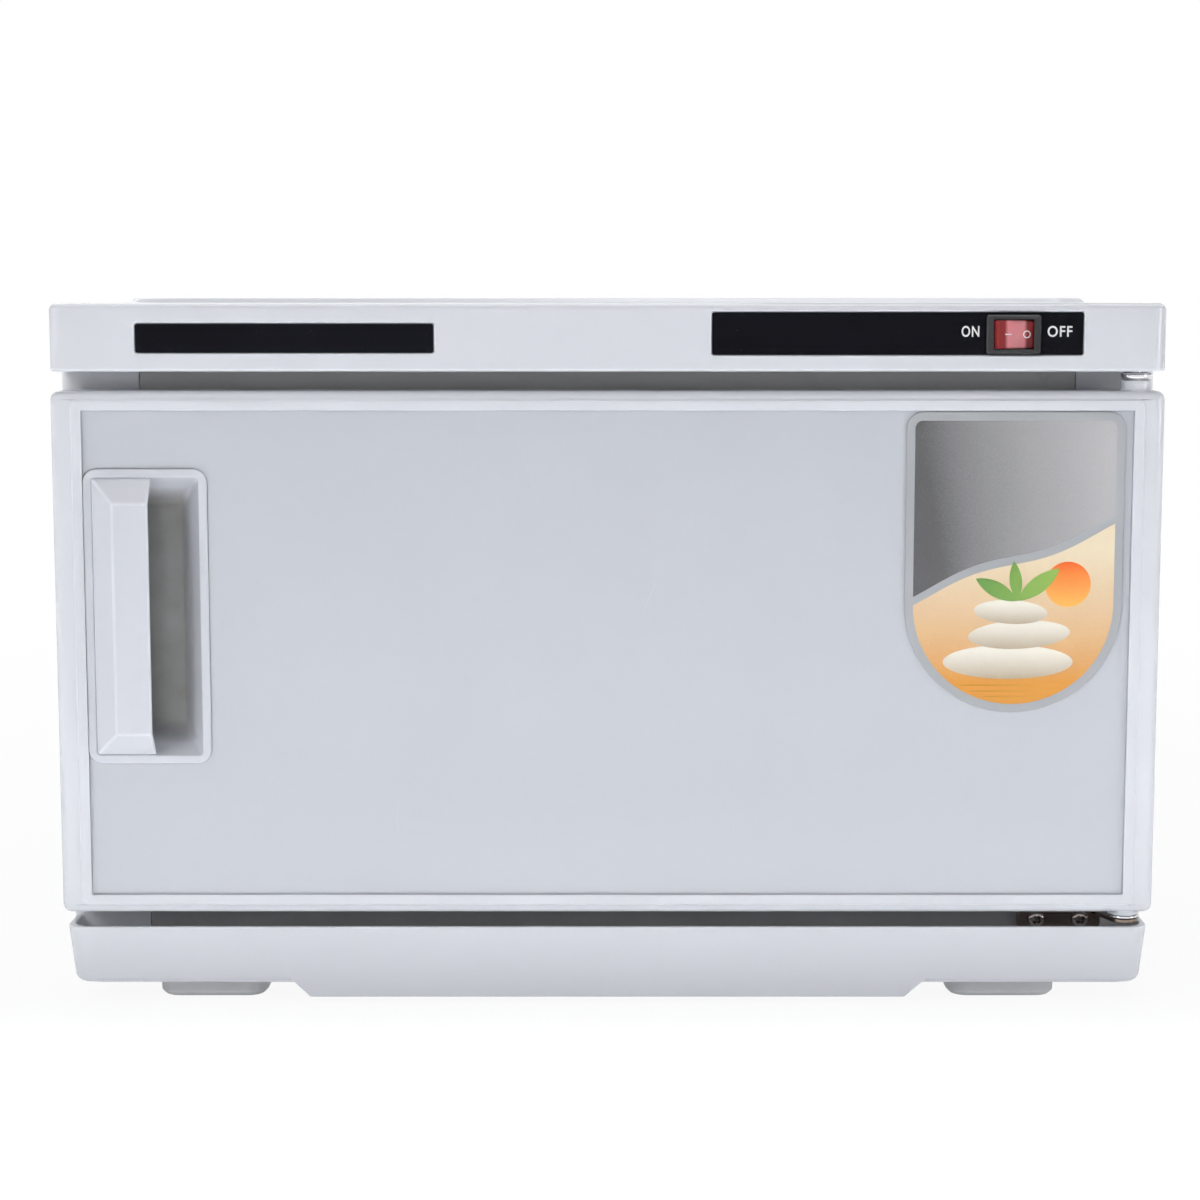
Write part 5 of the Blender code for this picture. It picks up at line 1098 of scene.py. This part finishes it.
def make_label():
    """Plate with a silver border, a grey upper field and a warm picture of stones and leaves below."""
    low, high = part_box("door_label")
    sections = ((0, high.y), (0, low.y + LABEL_EDGE), (LABEL_EDGE, low.y))
    plate = loft("door_label_plate", [facing(label_outline(inset), depth) for inset, depth in sections])
    smooth(plate)
    dress(plate, "label_print", "door")
    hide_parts("door_label")

    height = high.z - low.z
    across, up = GREY_FADE_START
    finishes["label_grey"] = graded_print(
        "label_grey", GREY_COLOURS, (low.x + height * across, low.z + height * up),
        (high.x, low.z + height * GREY_FADE_END), GREY_ROUGHNESS)
    finishes["label_warm"] = graded_print(
        "label_warm", WARM_COLOURS, *((low.x, low.z + height * share) for share in WARM_FADE))
    field = label_outline(LABEL_BORDER)
    printed("label_upper_field", clip_side(field, BAND_WIDTH / 2, True), low.y, "label_grey")
    printed("label_lower_field", clip_side(field, -BAND_WIDTH / 2, False), low.y, "label_warm")
    make_picture(low, high)


def make_picture(low, high):
    """Stones on rippled sand, with a low sun and a sprig of leaves: a plain design of no maker."""
    width, height = high.x - low.x, high.z - low.z

    def place(across, up):
        return ((low.x + high.x) / 2 + width * across, low.z + height * up)

    depth = low.y - PRINT_LIFT
    sun, size = place(*SUN_PLACE), width * SUN_SIZE_SHARE
    finishes["label_sun"] = graded_print("label_sun", SUN_COLOURS, (sun[0], sun[1] - size / 2),
                                         (sun[0], sun[1] + size / 2))
    printed("label_sun", ellipse(sun, size, size), depth, "label_sun")
    finishes["label_sand"] = graded_print("label_sand", SAND_COLOURS, place(-SAND_FADE, 0),
                                          place(SAND_FADE, 0))
    for number, (share, up) in enumerate(RIPPLES, start=1):
        ripple = ellipse(place(0, up), width * share, height * RIPPLE_HEIGHT)
        printed(f"label_ripple_{number}", ripple, depth, "label_sand")
    depth -= PRINT_LIFT
    for number, (spot, wide, tall, turn) in enumerate(STONES, start=1):
        name = f"label_stone_{number}"
        centre, rise = place(*spot), height * tall
        finishes[name] = graded_print(name, STONE_COLOURS, (centre[0], centre[1] - rise / 2),
                                      (centre[0], centre[1] + rise / 3))
        printed(name, ellipse(centre, width * wide, rise, turn), depth, name)
        depth -= PRINT_LIFT
    finishes["label_leaf"] = graded_print(
        "label_leaf", LEAF_COLOURS, *(place(across, LEAF_ROOT[1]) for across in LEAF_FADE))
    root = place(*LEAF_ROOT)
    for number, (length, wide, turn) in enumerate(LEAVES):
        printed(f"label_leaf_{number}", leaf(root, length, wide, turn), depth, "label_leaf")
        depth -= PRINT_LIFT


# Lettering and switch marks


def letters(name, words, centre, width_share, depth):
    """Print a short word on the control strip, its letters made narrower by a share."""
    text = bpy.data.curves.new(name, "FONT")
    text.body = words
    text.size = LETTER_HEIGHT * LETTER_SIZE_SHARE
    text.offset = LETTER_WEIGHT
    text.extrude = LETTER_DEPTH
    text.align_x = "CENTER"
    text.align_y = "CENTER"
    text.space_character = LETTER_SPACING
    piece = curve_piece(text)
    upright = Matrix.Rotation(math.radians(90), 4, "X")
    stand = Matrix.Translation((centre[0], depth, centre[1])) @ upright
    piece.data.transform(stand @ Matrix.Diagonal((width_share, 1, 1, 1)))
    dress(piece, "mark_white", "cabinet")


def make_lettering():
    """ON and OFF beside the switch."""
    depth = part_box("control_strip")[0].y - LETTER_DEPTH
    letters("lettering_on", "ON", (ON_CENTRE_X, LETTER_CENTRE_Z), ON_WIDTH_SHARE, depth)
    letters("lettering_off", "OFF", (OFF_CENTRE_X, LETTER_CENTRE_Z), OFF_WIDTH_SHARE, depth)


def rocker_joint():
    """Return the place of the rocker's axis."""
    found = [joint for joint in frame["joints"] if joint["name"] == "rocker_switch"][0]
    return Vector(found["pos_m"])


def on_rocker(across, side):
    """Return the matrix of a place on the rocker's face, this far along its sloping side."""
    rest = Matrix.Translation(rocker_joint()) @ Matrix.Rotation(math.radians(ROCKER_REST_TURN), 4, "Z")
    slope = Matrix.Rotation(math.radians(-side * DISH_TURN), 4, "Z")
    spot = Matrix.Translation((side * across, -MARK_RISE, 0))
    return rest @ Matrix.Translation((0, -DISH_DEPTH, 0)) @ slope @ spot


def make_rocker_marks():
    """A bar and a ring on the rocker's two sides."""
    outline = rounded_rectangle((-MARK_SIZE, MARK_SIZE), (-MARK_LINE, MARK_LINE), MARK_LINE, MARK_STEPS)
    bar = loft("rocker_bar", [facing(outline, MARK_RISE), facing(outline, -MARK_RISE)])
    bar.data.transform(on_rocker(BAR_ACROSS, -1))
    inner = MARK_SIZE - 2 * MARK_LINE
    section = ((MARK_SIZE, MARK_RISE), (MARK_SIZE, -MARK_RISE), (inner, -MARK_RISE), (inner, MARK_RISE))
    circles = [facing(arc((0, 0), radius, 0, 360, ROUND_STEPS)[:-1], depth)
               for radius, depth in section]
    ring = loft("rocker_ring", circles, closed=True)
    ring.data.transform(on_rocker(RING_ACROSS, 1))
    for piece in (bar, ring):
        dress(piece, "mark_white", "rocker")


# Finishes of CAD shapes that stay


def finish_cad_nodes():
    """Give every CAD node that still shows its node material."""
    for name, item in frame["nodes"].items():
        item.data.materials.clear()
        item.data.materials.append(finishes[slot_of[name]])


# Floor, light and camera


def make_floor():
    """Pale floor, near white where it is seen plainly, with the object's shadow on it."""
    shape = bmesh.new()
    bmesh.ops.create_grid(shape, x_segments=FLOOR_CELLS, y_segments=FLOOR_CELLS, size=FLOOR_SIZE / 2)
    floor = mesh_piece("floor", shape)
    made, tree, shader = new_material("floor_pale")
    set_inputs(shader, {"Base Color": FLOOR_COLOUR, "Roughness": FLOOR_ROUGHNESS})
    glow = node(tree, "ShaderNodeEmission", {"Color": PLAIN_WHITE, "Strength": 1.0}).outputs[0]
    away = node(tree, "ShaderNodeVectorMath", {0: place_on_object(tree)}, operation="LENGTH")
    whiteness = spread(tree, away.outputs["Value"], FLOOR_WHITE_SHARE, 1, FLOOR_NEAR, FLOOR_FAR)
    share = times(tree, seen_plainly(tree), whiteness)
    both = node(tree, "ShaderNodeMixShader", {0: share, 1: shader.outputs[0], 2: glow}).outputs[0]
    tree.links.new(both, tree.nodes["Material Output"].inputs["Surface"])
    floor.data.materials.append(made)


def seen_plainly(tree):
    """Return 1 for rays from the camera, off gloss and through clear parts, and 0 for others."""
    path = node(tree, "ShaderNodeLightPath").outputs
    return greater(tree, path["Is Camera Ray"],
                   greater(tree, path["Is Glossy Ray"], path["Is Transmission Ray"]))


def make_world():
    """Surroundings that are white where seen plainly, and light the object from above and behind."""
    world = bpy.data.worlds.new("studio")
    bpy.context.scene.world = world
    world.use_nodes = True
    tree = world.node_tree
    tree.nodes.clear()
    sky = node(tree, "ShaderNodeTexCoord").outputs["Generated"]
    way = node(tree, "ShaderNodeSeparateXYZ", {"Vector": sky}).outputs
    behind = spread(tree, way["Y"], WORLD_FRONT, WORLD_REAR, *WORLD_REAR_RANGE)
    above = spread(tree, way["Z"], 0, WORLD_TOP, *WORLD_TOP_RANGE)
    strength = greater(tree, behind, above)
    soft = node(tree, "ShaderNodeBackground", {"Color": WORLD_COLOUR, "Strength": strength}).outputs[0]
    white = node(tree, "ShaderNodeBackground", {"Color": PLAIN_WHITE, "Strength": 1.0}).outputs[0]
    both = node(tree, "ShaderNodeMixShader", {0: seen_plainly(tree), 1: soft, 2: white}).outputs[0]
    node(tree, "ShaderNodeOutputWorld", {"Surface": both})


def make_lamps():
    """Soft lamps round the object, and one that lights the table in front of it."""
    for name, lamp in LAMPS.items():
        light = bpy.data.lights.new(name, "AREA")
        light.shape = "RECTANGLE"
        light.size, light.size_y = lamp["width"], lamp["height"]
        light.energy = lamp["power"]
        light.spread = math.radians(lamp.get("spread", 180))
        holder = bpy.data.objects.new(name, light)
        holder.location = lamp["place"]
        way = Vector(lamp.get("aim", LAMP_AIM)) - Vector(lamp["place"])
        holder.rotation_euler = way.to_track_quat("-Z", "Y").to_euler()
        bpy.context.scene.collection.objects.link(holder)


def make_camera():
    """Camera at the photograph's place and angle."""
    lens = bpy.data.cameras.new("camera")
    lens.lens = CAMERA_LENS_MM
    lens.sensor_width = CAMERA_SENSOR_MM
    lens.clip_start = CAMERA_NEAR
    camera = bpy.data.objects.new("camera", lens)
    camera.location = CAMERA_PLACE
    camera.rotation_euler = (CAMERA_TILT, 0, 0)
    bpy.context.scene.collection.objects.link(camera)
    bpy.context.scene.camera = camera


make_camera()
make_world()
make_lamps()
make_floor()
finishes = make_finishes()
finish_cad_nodes()
make_rounded_copies()
make_panel()
make_washer("hinge_washer_top", "hinge_pin_top")
make_washer("hinge_washer_bottom", "hinge_pin_bottom")
make_handle()
make_screws()
make_wire_rack()
make_gasket()
make_label()
make_lettering()
make_rocker_marks()
bpy.context.scene.view_settings.view_transform = "Standard"
